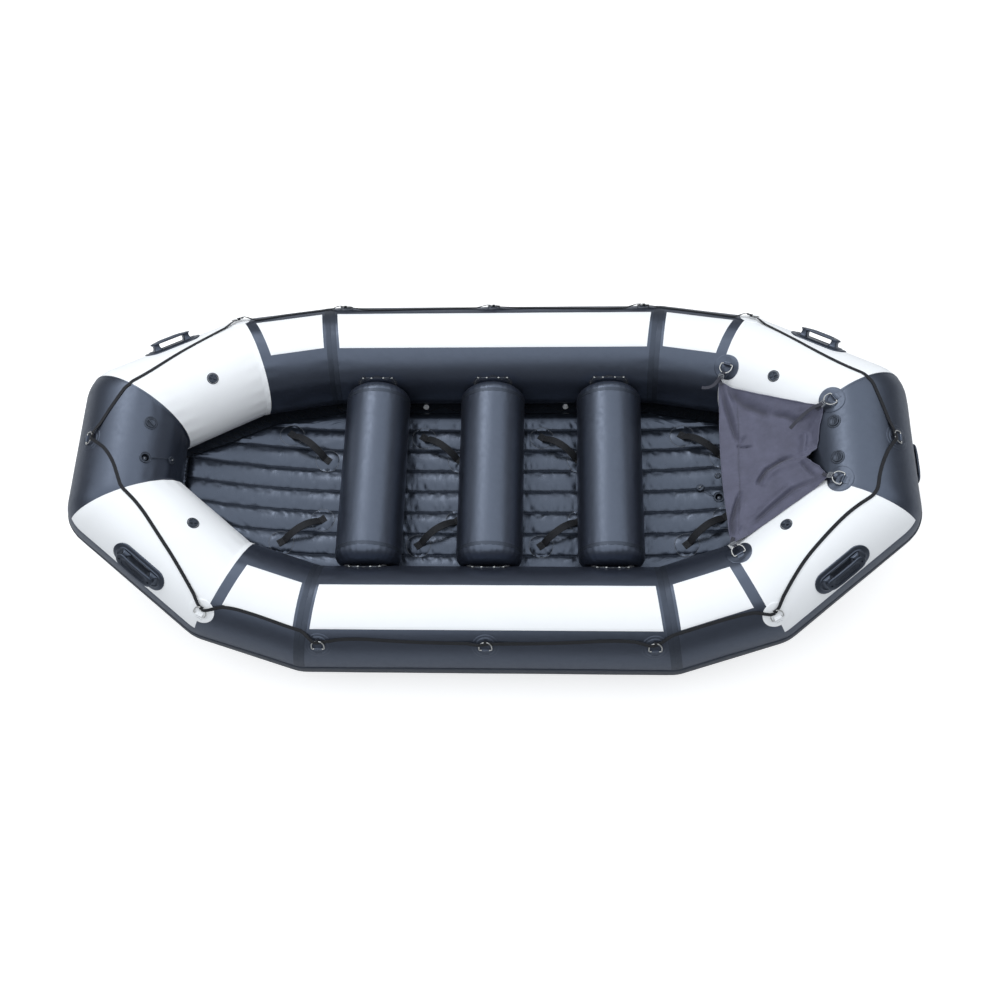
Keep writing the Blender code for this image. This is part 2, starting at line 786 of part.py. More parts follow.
def surface_frame(tube, along, angle):
    """A frame on the tube's surface with Z outwards and X round the tube."""
    normal = tube.normal(angle)
    x_way = tube.round_way(angle)
    return placed(x_way, normal.cross(x_way), tube.point(along, angle))


def valve_cap(name, frame, radius, bars, materials, collection):
    """A quarter-turn cap: a disc with a chamfered edge and raised grip bars."""
    top = VALVE_FLANGE + CAP_PROUD
    edge = CAP_BAR_HEIGHT / 2
    profile = [
        (0.0, top),
        (radius - edge, top),
        (radius, top - edge),
        (radius, -CAP_DEPTH),
        (0.0, -CAP_DEPTH),
    ]
    cap = turned(name, profile, 16, frame, materials["valve"], collection)
    for turn in bars:
        bar_frame = frame @ Matrix.Rotation(math.radians(turn), 4, "Z")
        bar_frame = bar_frame @ Matrix.Translation((0.0, 0.0, top))
        outline = stadium(2 * (radius - 2 * edge), CAP_BAR_WIDTH, 2)
        bar = extruded("bar", outline, CAP_BAR_HEIGHT, bar_frame, materials["valve"], collection)
        combine(cap, bar, "UNION")
    return cap


def poppet(name, frame, materials, collection):
    """The spring-loaded plunger of an open valve: a round head on a stem that runs in the valve's guide."""
    low = -VALVE_BORE_DEPTH - POPPET_STEM_INSIDE
    profile = [
        (0.0, -POPPET_DEPTH),
        (POPPET_RADIUS, -POPPET_DEPTH - POPPET_THICKNESS / 2),
        (POPPET_RADIUS, -POPPET_DEPTH - POPPET_THICKNESS),
        (POPPET_STEM_RADIUS, -POPPET_DEPTH - 2 * POPPET_THICKNESS),
        (POPPET_STEM_RADIUS, low),
        (0.0, low),
    ]
    return turned(name, profile, 16, frame, materials["valve"], collection)


def open_valve(hull, frame, surface, collection):
    """The seat of a valve that stands open, with the guide hole for its plunger."""
    skin = hull.data.materials[0]
    rim = VALVE_BORE_RADIUS + VALVE_RIM_END
    valve_seat(hull, frame, rim, VALVE_BORE_RADIUS, VALVE_BORE_DEPTH, surface, collection)
    guide = POPPET_STEM_RADIUS + RUNNING_GAP
    low = -VALVE_BORE_DEPTH - POPPET_GUIDE_DEPTH
    hole = round_bar("guide", guide, low, -VALVE_BORE_DEPTH + OVERRUN, 16, frame, skin, collection)
    combine(hull, hole, "DIFFERENCE")


def loose_cap(name, frame, anchor, middle, facing, materials, collection):
    """A valve's cap laid aside on its moulded tether, which ends in an eye flat on the valve's flange."""
    profile = [
        (0.0, LOOSE_CAP_THICKNESS),
        (LOOSE_CAP_RADIUS - CAP_BAR_HEIGHT / 2, LOOSE_CAP_THICKNESS),
        (LOOSE_CAP_RADIUS, LOOSE_CAP_THICKNESS - CAP_BAR_HEIGHT / 2),
        (LOOSE_CAP_RADIUS, 0.0),
        (0.0, 0.0),
    ]
    cap = turned(name, profile, 16, frame, materials["valve"], collection)
    up = frame.to_3x3() @ UP
    start = frame.translation + up * (LOOSE_CAP_THICKNESS / 2)
    away = (middle - start).normalized()
    points = []
    normals = []
    for n in range(TETHER_STEPS + 1):
        share = n / TETHER_STEPS
        place = start.lerp(middle, share).lerp(middle.lerp(anchor, share), share)
        points.append(place)
        normals.append(up.lerp(facing, share).normalized())
    points[0] = start + away * (LOOSE_CAP_RADIUS / 2)
    bm = band(points, normals, TETHER_WIDTH, TETHER_THICKNESS, False)
    strap = from_bmesh("tether", bm, materials["valve"], collection)
    return combine(cap, strap, "UNION")


def handle(name, tube, along, angle, rise, materials, collection):
    """A moulded rubber grab handle: an oval base that follows the tube, and a bridge with a grip.

    The rise is how much higher it stands where it goes over the rub strake.
    """
    frame = placed(tube.along, tube.round_way(angle), tube.point(along, angle))
    if (frame.to_3x3() @ UP).dot(tube.normal(angle)) < 0:
        frame = placed(-tube.along, tube.round_way(angle), tube.point(along, angle))
    rubber = materials["rubber"]
    depth = GRIP_TOP
    base_radius = TUBE_RADIUS + rise + HANDLE_BASE_THICKNESS
    base = extruded(name, stadium(HANDLE_LENGTH, HANDLE_WIDTH, 6), depth, frame, rubber, collection)
    plate = tube.solid(base_radius, 0.0, rubber, collection)
    combine(base, plate, "INTERSECT")
    inner = stadium(HANDLE_LENGTH - 2 * HANDLE_BASE_RIM, HANDLE_WIDTH - 2 * HANDLE_BASE_RIM, 4)
    raised = extruded("raised", inner, depth, frame, rubber, collection)
    top = tube.solid(base_radius + HANDLE_RIM_HEIGHT, 0.0, rubber, collection)
    combine(raised, top, "INTERSECT")
    combine(base, raised, "UNION")
    # the bridge: its side view, between two posts, under a grip with a slightly crowned top
    frame = frame @ Matrix.Translation((0.0, 0.0, rise))
    bottom = HANDLE_BASE_THICKNESS / 2
    under = GRIP_TOP - GRIP_THICKNESS
    inside = POST_SPACING / 2 - POST_THICKNESS / 2
    outside = POST_SPACING / 2 + POST_THICKNESS / 2
    lip = GRIP_LENGTH / 2
    lip_drop = GRIP_THICKNESS / 3
    side_view = [
        (-outside, bottom),
        (-inside, bottom),
        (-inside, under - lip_drop),
        (-inside + lip_drop, under),
        (inside - lip_drop, under),
        (inside, under - lip_drop),
        (inside, bottom),
        (outside, bottom),
        (outside, under),
        (lip, under + lip_drop),
        (lip, GRIP_TOP - GRIP_CROWN),
        (inside / 2, GRIP_TOP),
        (-inside / 2, GRIP_TOP),
        (-lip, GRIP_TOP - GRIP_CROWN),
        (-lip, under + lip_drop),
        (-outside, under),
    ]
    side_frame = frame @ Matrix.Rotation(math.radians(90.0), 4, "X")
    bridge = extruded("bridge", side_view, GRIP_WIDTH, side_frame, rubber, collection)
    oval = stadium(GRIP_LENGTH, GRIP_WIDTH, 4)
    combine(bridge, extruded("column", oval, GRIP_TOP * 2, frame, rubber, collection), "INTERSECT")
    slot_frame = frame @ Matrix.Translation((0.0, 0.0, GRIP_TOP))
    oval = stadium(GRIP_SLOT_LENGTH, GRIP_SLOT_WIDTH, 3)
    slot = extruded("slot", oval, GRIP_SLOT_DEPTH, slot_frame, rubber, collection)
    combine(bridge, slot, "DIFFERENCE")
    combine(base, bridge, "UNION")
    combine(base, tube.solid(TUBE_RADIUS + FIT_GAP, 0.0, rubber, collection), "DIFFERENCE")
    return base


def shared_mitre(one, other):
    """Which end of each of two neighbouring tubes lies on their common mitre."""
    for mine, (place, _) in enumerate(one.mitres):
        for theirs, (other_place, _) in enumerate(other.mitres):
            if (place - other_place).length < FIT_GAP:
                return mine, theirs
    return None


def strake(tubes, inner, grow, materials, collection):
    """One closed rubber strip round the whole hull, mitred at each corner, with two ribs along it.

    It starts at the height inner over the tubes, and is bigger by grow all round.
    """
    wider = math.degrees(grow / TUBE_RADIUS)
    bottom_angle = STRAKE_BOTTOM_ANGLE - wider
    sweep = STRAKE_TOP_ANGLE + wider - bottom_angle
    steps = 2 * STRAKE_RIBS + 2
    profile = []
    for n in range(steps + 1):
        height = STRAKE_THICKNESS
        if n in (0, steps):
            height *= STRAKE_EDGE_SHARE
        elif n % 2 == 0:
            height -= STRAKE_RIB_HEIGHT
        profile.append((bottom_angle + sweep * n / steps, height + grow))
    for n in range(STRAKE_BACK_STEPS, -1, -1):
        profile.append((bottom_angle + sweep * n / STRAKE_BACK_STEPS, inner))
    order = [("side", PORT), ("quarter", BOW, PORT), ("corner", BOW, PORT), ("end", BOW)]
    order += [("corner", BOW, STARBOARD), ("quarter", BOW, STARBOARD), ("side", STARBOARD)]
    order += [("quarter", STERN, STARBOARD), ("corner", STERN, STARBOARD), ("end", STERN)]
    order += [("corner", STERN, PORT), ("quarter", STERN, PORT)]
    bm = bmesh.new()
    rings = []
    for n, key in enumerate(order):
        tube = tubes[key]
        after = tubes[order[(n + 1) % len(order)]]
        middle = tube.length / 2
        rings.append([bm.verts.new(tube.point(middle, angle, height)) for angle, height in profile])
        mine, theirs = shared_mitre(tube, after)
        ring = []
        for angle, height in profile:
            over = mirrored_angle(after, tube, after.along_at_mitre(theirs, angle), angle)
            between = (angle + over) / 2
            along = tube.along_at_mitre(mine, between, height)
            ring.append(bm.verts.new(tube.point(along, between, height)))
        rings.append(ring)
    count = len(profile)
    for n, ring in enumerate(rings):
        after = rings[(n + 1) % len(rings)]
        for k in range(count):
            bm.faces.new((ring[k], ring[(k + 1) % count], after[(k + 1) % count], after[k]))
    return from_bmesh("rub_strake", bm, materials["strake"], collection)


def thwart(name, x, materials, collection):
    """An inflated cross tube with domed ends, and an oval laced foot at each end to fit the side tube."""
    height = THWART_AXIS_HEIGHT
    half = SIDE_HALF_BEAM - math.sqrt(TUBE_RADIUS**2 - (height - AXIS_HEIGHT)**2) - 2 * FIT_GAP
    profile = [(0.0, half)]
    for turn in DOME_ANGLES:
        angle = math.radians(turn)
        profile.append((THWART_RADIUS * math.sin(angle), half - THWART_DOME * (1 - math.cos(angle))))
    profile += [(radius, -level) for radius, level in reversed(profile)]
    frame = placed(Vector((1.0, 0.0, 0.0)), UP, Vector((x, 0.0, height)))
    body = turned(name, profile, THWART_FACETS, frame, materials["black"], collection)
    combine(body, thwart_feet(frame, half, materials, collection), "UNION")
    return body


def thwart_feet(frame, half, materials, collection):
    """One bar through both feet, cut to the two side tubes, so that it ends on their surfaces."""
    wide = THWART_FOOT_WIDTH / 2
    tall = THWART_FOOT_HEIGHT / 2
    chamfer = tall / 3
    outline = [
        (wide - chamfer, -tall),
        (wide, -tall + chamfer),
        (wide, tall - chamfer),
        (wide - chamfer, tall),
        (-wide + chamfer, tall),
        (-wide, tall - chamfer),
        (-wide, -tall + chamfer),
        (-wide + chamfer, -tall),
    ]
    return extruded("feet", outline, half + THWART_FOOT_REACH / 2, frame, materials["black"], collection)


def tube_height(x):
    """How far the hull's centre line has risen at a distance x from midships."""
    if x <= SIDE_HALF_LENGTH:
        return 0.0
    if x <= QUARTER_END_X:
        return QUARTER_RISE * (x - SIDE_HALF_LENGTH) / (QUARTER_END_X - SIDE_HALF_LENGTH)
    slope = (CORNER_RISE - QUARTER_RISE) / (CORNER_END_X - QUARTER_END_X)
    return QUARTER_RISE + slope * (x - QUARTER_END_X)


def rocker(x):
    """The floor's rise: straight runs between stations that lie beside the hull's corners."""
    stations = (0.0,) + FLOOR_STATIONS
    for here, there in zip(stations, stations[1:]):
        if abs(x) <= there or there == stations[-1]:
            share = (abs(x) - here) / (there - here)
            return tube_height(here) + (tube_height(there) - tube_height(here)) * share
    return 0.0


def floor_top(x, y):
    """The height of the floor's scalloped upper surface."""
    web_top = FLOOR_CLEAR_OF_GROUND + (FLOOR_CREST_THICKNESS + FLOOR_WEB_THICKNESS) / 2
    return web_top + swell(y) + rocker(x)


def swell(y):
    """How far a chamber's skin stands above its webs, along straight runs between the section's points."""
    share = (y / CHAMBER_PITCH) % 1.0
    for (here, low), (there, high) in zip(CHAMBER_SHARES, CHAMBER_SHARES[1:]):
        if share <= there:
            break
    height = low + (high - low) * (share - here) / (there - here)
    return height * (FLOOR_CREST_THICKNESS - FLOOR_WEB_THICKNESS) / 2


def floor_slope(x):
    """The way forward along the floor."""
    step = FOOT_STRAP_TAB / 2
    return Vector((2 * step, 0.0, rocker(x + step) - rocker(x - step))).normalized()


def floor_stations(end_x):
    bow = [x for x in FLOOR_STATIONS if x < end_x] + [end_x]
    return [-x for x in reversed(bow)] + bow


def floor_body(materials, collection):
    """The scalloped beam floor: arcs between webs above and below, following the rocker along X."""
    middle = FLOOR_CLEAR_OF_GROUND + FLOOR_CREST_THICKNESS / 2
    web = FLOOR_WEB_THICKNESS / 2
    ys = []
    for chamber in range(CHAMBERS):
        ys += [(chamber + share - CHAMBERS / 2) * CHAMBER_PITCH for share, _ in CHAMBER_SHARES[:-1]]
    ys.append(CHAMBERS / 2 * CHAMBER_PITCH)
    section = [(y, middle + web + swell(y)) for y in ys]
    section += [(y, middle - web - swell(y)) for y in reversed(ys)]
    bm = bmesh.new()
    rings = []
    for x in floor_stations(FLOOR_END_X + OVERRUN):
        rings.append([bm.verts.new((x, y, z + rocker(x))) for y, z in section])
    loft(bm, rings)
    return from_bmesh("floor", bm, materials["floor"], collection)


def loft(bm, rings):
    count = len(rings[0])
    for here, there in zip(rings, rings[1:]):
        for k in range(count):
            bm.faces.new((here[k], here[(k + 1) % count], there[(k + 1) % count], there[k]))
    bm.faces.new(rings[0])
    bm.faces.new(list(reversed(rings[-1])))


def plan_outline(tubes, inset, end_x, end_half):
    """Half of the floor's plan, from the bow's starboard end round to port, then mirrored aft."""
    points = []
    for side in (STARBOARD, PORT):
        quarter = tubes["quarter", BOW, side]
        corner = tubes["corner", BOW, side]
        lifted = inset - TUBE_RADIUS
        at_side = quarter.point(quarter.along_at_mitre(0, 180.0, lifted), 180.0, lifted)
        at_quarter = corner.point(corner.along_at_mitre(0, 180.0, lifted), 180.0, lifted)
        run = [(at_side.x, at_side.y), (at_quarter.x, at_quarter.y), (end_x, side * end_half)]
        points += run if side == STARBOARD else reversed(run)
    return points + [(-x, y) for x, y in reversed(points)]


def floor(tubes, materials, collection):
    """The floor with its laced perimeter flange, drain holes and valve seats."""
    skin = materials["floor"]
    body = floor_body(materials, collection)
    level = Matrix.Translation((0.0, 0.0, CORNER_RISE))
    plan = plan_outline(tubes, FLOOR_INSET, FLOOR_END_X, FLOOR_END_HALF_WIDTH)
    combine(body, extruded("plan", plan, 2 * CORNER_RISE, level, skin, collection), "INTERSECT")
    # the flange: a thin sheet that follows the rocker, out to the tubes
    bm = bmesh.new()
    rings = []
    for x in floor_stations(FLANGE_END_X):
        low = FLANGE_HEIGHT + rocker(x)
        high = low + FLANGE_THICKNESS
        wide = SIDE_HALF_BEAM
        corners = ((-wide, low), (wide, low), (wide, high), (-wide, high))
        rings.append([bm.verts.new((x, y, z)) for y, z in corners])
    loft(bm, rings)
    flange = from_bmesh("flange", bm, skin, collection)
    axis_plan = plan_outline(tubes, 0.0, FLANGE_END_X, CORNER_END_Y)
    combine(flange, extruded("plan", axis_plan, 2 * CORNER_RISE, level, skin, collection), "INTERSECT")
    combine(body, flange, "UNION")
    for tube in tubes.values():
        combine(body, tube.solid(TUBE_RADIUS + FIT_GAP, OVERRUN, skin, collection), "DIFFERENCE")
    for side in (PORT, STARBOARD):
        for n in range(DRAINS_PER_SIDE):
            x = (n - (DRAINS_PER_SIDE - 1) / 2) * DRAIN_PITCH
            y = side * (SIDE_HALF_BEAM - DRAIN_FROM_TUBE_AXIS)
            place = Matrix.Translation((x, y, FLANGE_HEIGHT))
            reach = DRAIN_RADIUS
            hole = round_bar("drain", DRAIN_RADIUS, -reach, reach, 10, place, skin, collection)
            combine(body, hole, "DIFFERENCE")
    return body


def floor_frame(x, y, height=0.0):
    """A frame on the floor: X forward along its slope, Z up square to it."""
    forward = floor_slope(x)
    up = forward.cross(Vector((0.0, 1.0, 0.0)))
    place = Vector((x, y, floor_top(x, y))) + up * height
    return placed(forward, Vector((0.0, 1.0, 0.0)), place)


def floor_fittings(body, materials, collection):
    """The open floor valve with its plunger and loose cap, and the low dome of the relief valve."""
    crest = CHAMBER_PITCH / 2
    skin = materials["floor"]
    frame = floor_frame(FLOOR_VALVE_X, -crest)
    rim = VALVE_BORE_RADIUS + VALVE_RIM_END
    slab = round_bar("slab", 2 * rim, -2 * PAD_ROOT, VALVE_FLANGE, 24, frame, skin, collection)
    open_valve(body, frame, slab, collection)
    relief = floor_frame(FLOOR_VALVE_X, crest)
    dome = round_bar(
        "relief", RELIEF_VALVE_RADIUS, -PAD_ROOT, RELIEF_VALVE_HEIGHT, 16, relief, skin, collection,
        RELIEF_VALVE_RADIUS / 2,
    )
    combine(body, dome, "UNION")
    poppet("floor_valve_poppet", frame, materials, collection)
    rest = floor_top(0.0, LOOSE_CAP_RADIUS) - floor_top(0.0, 0.0)
    cap_frame = floor_frame(FLOOR_CAP_X, 0.0, rest + RUNNING_GAP)
    anchor = frame @ Vector((-rim + TETHER_WIDTH / 2, 0.0, VALVE_FLANGE + TETHER_THICKNESS / 2 + FIT_GAP))
    middle = (anchor + cap_frame.translation) / 2 + UP * (2 * LOOSE_CAP_THICKNESS)
    loose_cap("floor_valve_cap", cap_frame, anchor, middle, UP, materials, collection)


def along_floor(way, up):
    return (way - up * way.dot(up)).normalized()


def foot_strap(name, x, side, materials, collection):
    """A webbing arch across two chambers, with a flat sewn tab at each end."""
    lay = RUNNING_GAP + FOOT_STRAP_THICKNESS / 2
    half_run = FOOT_STRAP_RUN / 2
    at_start = floor_frame(x - half_run, side * OUTER_FOOT_CREST * CHAMBER_PITCH, lay)
    at_end = floor_frame(x + half_run, side * INNER_FOOT_CREST * CHAMBER_PITCH, lay)
    start, end = at_start.translation, at_end.translation
    start_up, end_up = at_start.to_3x3() @ UP, at_end.to_3x3() @ UP
    run = (end - start).normalized()
    steps = FOOT_STRAP_STEPS
    points = [start - along_floor(run, start_up) * FOOT_STRAP_TAB]
    normals = [start_up]
    for n in range(steps + 1):
        share = n / steps
        lean = math.sin(math.pi * share)
        up = start_up.lerp(end_up, share)
        points.append(start.lerp(end, share) + up * (FOOT_STRAP_HEIGHT * lean ** FOOT_STRAP_POWER))
        normals.append((up * lean - run * math.cos(math.pi * share)).normalized())
    points.append(end + along_floor(run, end_up) * FOOT_STRAP_TAB)
    normals.append(end_up)
    bm = band(points, normals, FOOT_STRAP_WIDTH, FOOT_STRAP_THICKNESS, False)
    return from_bmesh(name, bm, materials["webbing"], collection)


def line_lay(seat, tilt):
    """Where the grab line weaves through a ring: over one leg, through, and under the other."""
    way, face = seat.tilted(tilt)
    middle = seat.bar + way * LINE_FROM_BAR
    clear = WIRE_RADIUS + LINE_THICKNESS / 2 + LINE_CLEAR
    near = RING_HALF_WIDTH * LINE_NEAR_SHARE
    far = RING_HALF_WIDTH * LINE_FAR_SHARE
    places = ((-far, clear), (-near, clear), (0.0, 0.0), (near, -clear), (far, -clear))
    return [(middle + seat.bar_way * x + face * z, face) for x, z in places]


def surface_run(tube, start, end, steps):
    """Points on a tube's skin between two (along, angle, height) places, without the ends."""
    found = []
    for n in range(1, steps):
        share = n / steps
        along, angle, height = (a + (b - a) * share for a, b in zip(start, end))
        found.append((tube.point(along, angle, height), tube.normal(angle)))
    return found


def half_side_line(tubes, outer, fore, side):
    """The line from the middle of an end tube to the middle of a side tube, as (point, normal) pairs."""
    seats = {seat.name: seat for seat in outer}
    side_tube = tubes["side", side]
    quarter = tubes["quarter", fore, side]
    corner = tubes["corner", fore, side]
    end = tubes["end", fore]
    at_seam, at_middle, at_end = LINE_ANGLES[FORE_NAME[fore], SIDE_NAME[side]]
    lay = LINE_LAY_HEIGHT
    found = []
    which = 1 if side == PORT else 0
    end_along = end.along_at_mitre(which, at_end)
    toward = side * (RING_HALF_WIDTH * END_LEAD_SHARE)
    from_ring = (end.length / 2 + toward, LINE_ANGLE_BY_END_RING, LINE_RING_LAY_HEIGHT)
    found.append((end.point(*from_ring), end.normal(from_ring[1])))
    found += surface_run(end, from_ring, (end_along, at_end, lay), 4)
    over = mirrored_angle(end, corner, end_along, at_end)
    start = (corner.along_at_mitre(1, over), over, lay)
    middle = (corner.length / 2, at_middle, lay)
    found.append((corner.point(*start), corner.normal(start[1])))
    found += surface_run(corner, start, middle, 4)
    found.append((corner.point(*middle), corner.normal(at_middle)))
    lead = RING_HALF_WIDTH * CORNER_LEAD_SHARE
    finish = (corner.along_at_mitre(0, at_seam) + lead, at_seam, LINE_RING_LAY_HEIGHT)
    found += surface_run(corner, middle, finish, 4)
    found.append((corner.point(*finish), corner.normal(at_seam)))
    found += line_through(seats[f"d_ring_corner_{FORE_NAME[fore]}_{SIDE_NAME[side]}"], found[-1][0])
    angle = at_seam - LINE_ANGLE_STEP_AT_CORNER
    q_start = (quarter.along_at_mitre(1, angle) - lead, angle, LINE_RING_LAY_HEIGHT)
    q_end = (quarter.along_at_mitre(0, LINE_ANGLE_AT_SIDE_SEAM), LINE_ANGLE_AT_SIDE_SEAM, lay)
    found.append((quarter.point(*q_start), quarter.normal(angle)))
    found += surface_run(quarter, q_start, q_end, 3)
    found.append((quarter.point(*q_end), quarter.normal(LINE_ANGLE_AT_SIDE_SEAM)))
    ring = seats[f"d_ring_{FORE_NAME[fore]}_side_{SIDE_NAME[side]}"]
    found += line_through(ring, found[-1][0])
    side_lead = RING_HALF_WIDTH * SIDE_LEAD_SHARE
    here = SIDE_RING_FROM_SEAM + side_lead
    middle_reach = side_tube.length / 2 - side_lead
    sign = 1 if fore == STERN else -1
    base = 0.0 if fore == STERN else side_tube.length
    s_start = (base + sign * here, LINE_ANGLE_ALONG_SIDE, lay)
    s_end = (base + sign * middle_reach, LINE_ANGLE_ALONG_SIDE, lay)
    found.append((side_tube.point(*s_start), side_tube.normal(s_start[1])))
    found += surface_run(side_tube, s_start, s_end, 3)
    found.append((side_tube.point(*s_end), side_tube.normal(s_end[1])))
    return found


def mirrored_angle(one, other, along, angle):
    """The angle on the other tube of a point on the first tube's mitre."""
    place = one.point(along, angle) - other.start
    place -= other.along * place.dot(other.along)
    return math.degrees(math.atan2(place.dot(other.up), place.dot(other.out)))


def line_through(seat, coming_from):
    """The weave through a ring, in the order that starts nearest to where the line comes from."""
    lay = line_lay(seat, RING_TILT)
    if (lay[0][0] - coming_from).length > (lay[-1][0] - coming_from).length:
        lay.reverse()
    return lay


def grab_line(tubes, outer, materials, collection):
    """One endless webbing line threaded through all twelve outer rings."""
    seats = {seat.name: seat for seat in outer}
    route = []
    for fore, side in ((BOW, PORT), (STERN, PORT), (STERN, STARBOARD), (BOW, STARBOARD)):
        part = half_side_line(tubes, outer, fore, side)
        if (fore, side) in ((BOW, PORT), (STERN, STARBOARD)):
            across = Vector((0.0, -side * TUBE_RADIUS, 0.0))
            route += line_through(seats[f"d_ring_end_{FORE_NAME[fore]}"], part[0][0] + across)
            route += part
            route += line_through(seats[f"d_ring_mid_side_{SIDE_NAME[side]}"], route[-1][0])
        else:
            part.reverse()
            route += part
    points = [point for point, _ in route]
    normals = [normal for _, normal in route]
    bm = band(points, normals, LINE_WIDTH, LINE_THICKNESS, True)
    return from_bmesh("grab_line", bm, materials["webbing"], collection)


class Bag:
    """The shape of the stow bag's cloth, hung between the tips of its four rings."""

    def __init__(self, bag_seats):
        tips = [ring_tip(seat) for seat in bag_seats if seat.centre.y > 0]
        aft, fore = sorted(tips, key=lambda tip: tip.x)
        self.aft = aft - Vector((BAG_AFT_CORNER_AFT, BAG_AFT_CORNER_INBOARD, BAG_AFT_CORNER_DOWN))
        self.fore = fore - Vector((BAG_FORE_CORNER_AFT, BAG_FORE_CORNER_INBOARD, BAG_FORE_CORNER_DOWN))

    def point(self, u, v):
        """The top of the cloth at a share u from aft to fore and v from -1 to 1 across."""
        fore_x = self.fore.x - BAG_MOUTH_CURVE * (1 - v * v)
        x = self.aft.x + (fore_x - self.aft.x) * u
        edge = self.aft.lerp(self.fore, u)
        level, swing, first, run = BAG_SAG_SHARES
        hang = (1 - v * v) * (level + swing * math.sin(math.pi * (first + run * u)))
        waist = 1 - BAG_WAIST_SHARE * math.sin(math.pi * u)
        return Vector((x, edge.y * v * waist, edge.z - BAG_SAG * hang))

    def thickness(self, u, v):
        fill = math.sin(math.pi / 2 * min(1.0, u * BAG_FILL_SHARE))
        return BAG_SEAM_THICKNESS + BAG_DEPTH * (1 - v * v * v * v) * fill


def ring_tip(seat):
    """The far end of a bag ring's wire, where its strap hangs."""
    way, _ = seat.tilted(BAG_RING_TILT)
    return seat.bar + way * (RING_LEG + RING_HALF_WIDTH)


def bag(bag_seats, materials, collection):
    """The stow bag: a pouch open at its fore edge, hung from four rings by webbing loops and buckles."""
    cloth = materials["bag"]
    shape = Bag(bag_seats)
    us = [n / BAG_ROWS for n in range(BAG_ROWS + 1)]
    vs = [-1 + 2 * n / BAG_COLUMNS for n in range(BAG_COLUMNS + 1)]
    bm = bmesh.new()
    outer = []
    inner = []
    for u in us:
        low = [shape.point(u, v) - UP * shape.thickness(u, v) for v in vs]
        high = [shape.point(u, v) for v in vs]
        outer.append([bm.verts.new(p) for p in low + high[::-1]])
    for u in us[1:]:
        low = []
        high = []
        for v in vs:
            side_step = Vector((0.0, -v * BAG_WALL, 0.0))
            low.append(shape.point(u, v) - UP * (shape.thickness(u, v) - BAG_WALL) + side_step)
            high.append(shape.point(u, v) - UP * BAG_WALL + side_step)
        inner.append([bm.verts.new(p) for p in low + high[::-1]])
    count = len(outer[0])
    for rings in (outer, inner):
        for here, there in zip(rings, rings[1:]):
            for k in range(count):
                bm.faces.new((here[k], here[(k + 1) % count], there[(k + 1) % count], there[k]))
    for ring in (outer[0], inner[0]):
        half = count // 2
        for k in range(half - 1):
            bm.faces.new((ring[k], ring[k + 1], ring[count - 2 - k], ring[count - 1 - k]))
    for k in range(count):
        bm.faces.new((outer[-1][k], outer[-1][(k + 1) % count], inner[-1][(k + 1) % count], inner[-1][k]))
    pouch = from_bmesh("stow_bag", bm, cloth, collection)
    for seat in bag_seats:
        side = 1 if seat.centre.y > 0 else -1
        u = 0.0 if "aft" in seat.name else 1.0
        corner = shape.point(u, side) - UP * (BAG_SEAM_THICKNESS / 2)
        combine(pouch, bag_strap(seat, corner, materials, collection), "UNION")
    return pouch


def bag_strap(seat, corner, materials, collection):
    """A webbing loop round the ring's bow, drawn together in a buckle at the bag's corner."""
    way, face = seat.tilted(BAG_RING_TILT)
    tip = ring_tip(seat)
    ahead = STRAP_LOOP_GAP + BAG_STRAP_THICKNESS
    to_bag = (corner - tip).normalized()
    buckle_at = tip.lerp(corner, BUCKLE_PLACE_SHARE)
    half_turn = []
    for turn in range(0, 181, 36):
        angle = math.radians(90 + turn)
        half_turn.append(tip + (face * math.sin(angle) + way * math.cos(angle)) * ahead)
    points = [buckle_at + face * BAG_STRAP_THICKNESS] + half_turn + [buckle_at - face * BAG_STRAP_THICKNESS]
    outward = [(p - tip).normalized() for p in half_turn]
    normals = [face] + outward + [-face]
    bm = band(points, normals, BAG_STRAP_WIDTH, BAG_STRAP_THICKNESS, False)
    strap = from_bmesh("strap", bm, materials["webbing"], collection)
    frame = placed(to_bag, seat.bar_way, buckle_at + to_bag * (BUCKLE_LENGTH / 4))
    sizes = Matrix.Diagonal((BUCKLE_LENGTH, BUCKLE_WIDTH, BUCKLE_THICKNESS, 1.0))
    box = bmesh.new()
    bmesh.ops.create_cube(box, size=1.0, matrix=frame @ sizes)
    combine(strap, from_bmesh("buckle", box, materials["webbing"], collection), "UNION")
    bend = corner.lerp(frame.translation, TAIL_BEND_SHARE)
    tail = [frame.translation, bend, corner + to_bag * BAG_STRAP_WIDTH]
    bm = band(tail, [face, face, face], BAG_STRAP_WIDTH, BAG_STRAP_THICKNESS, False)
    return combine(strap, from_bmesh("tail", bm, materials["webbing"], collection), "UNION")


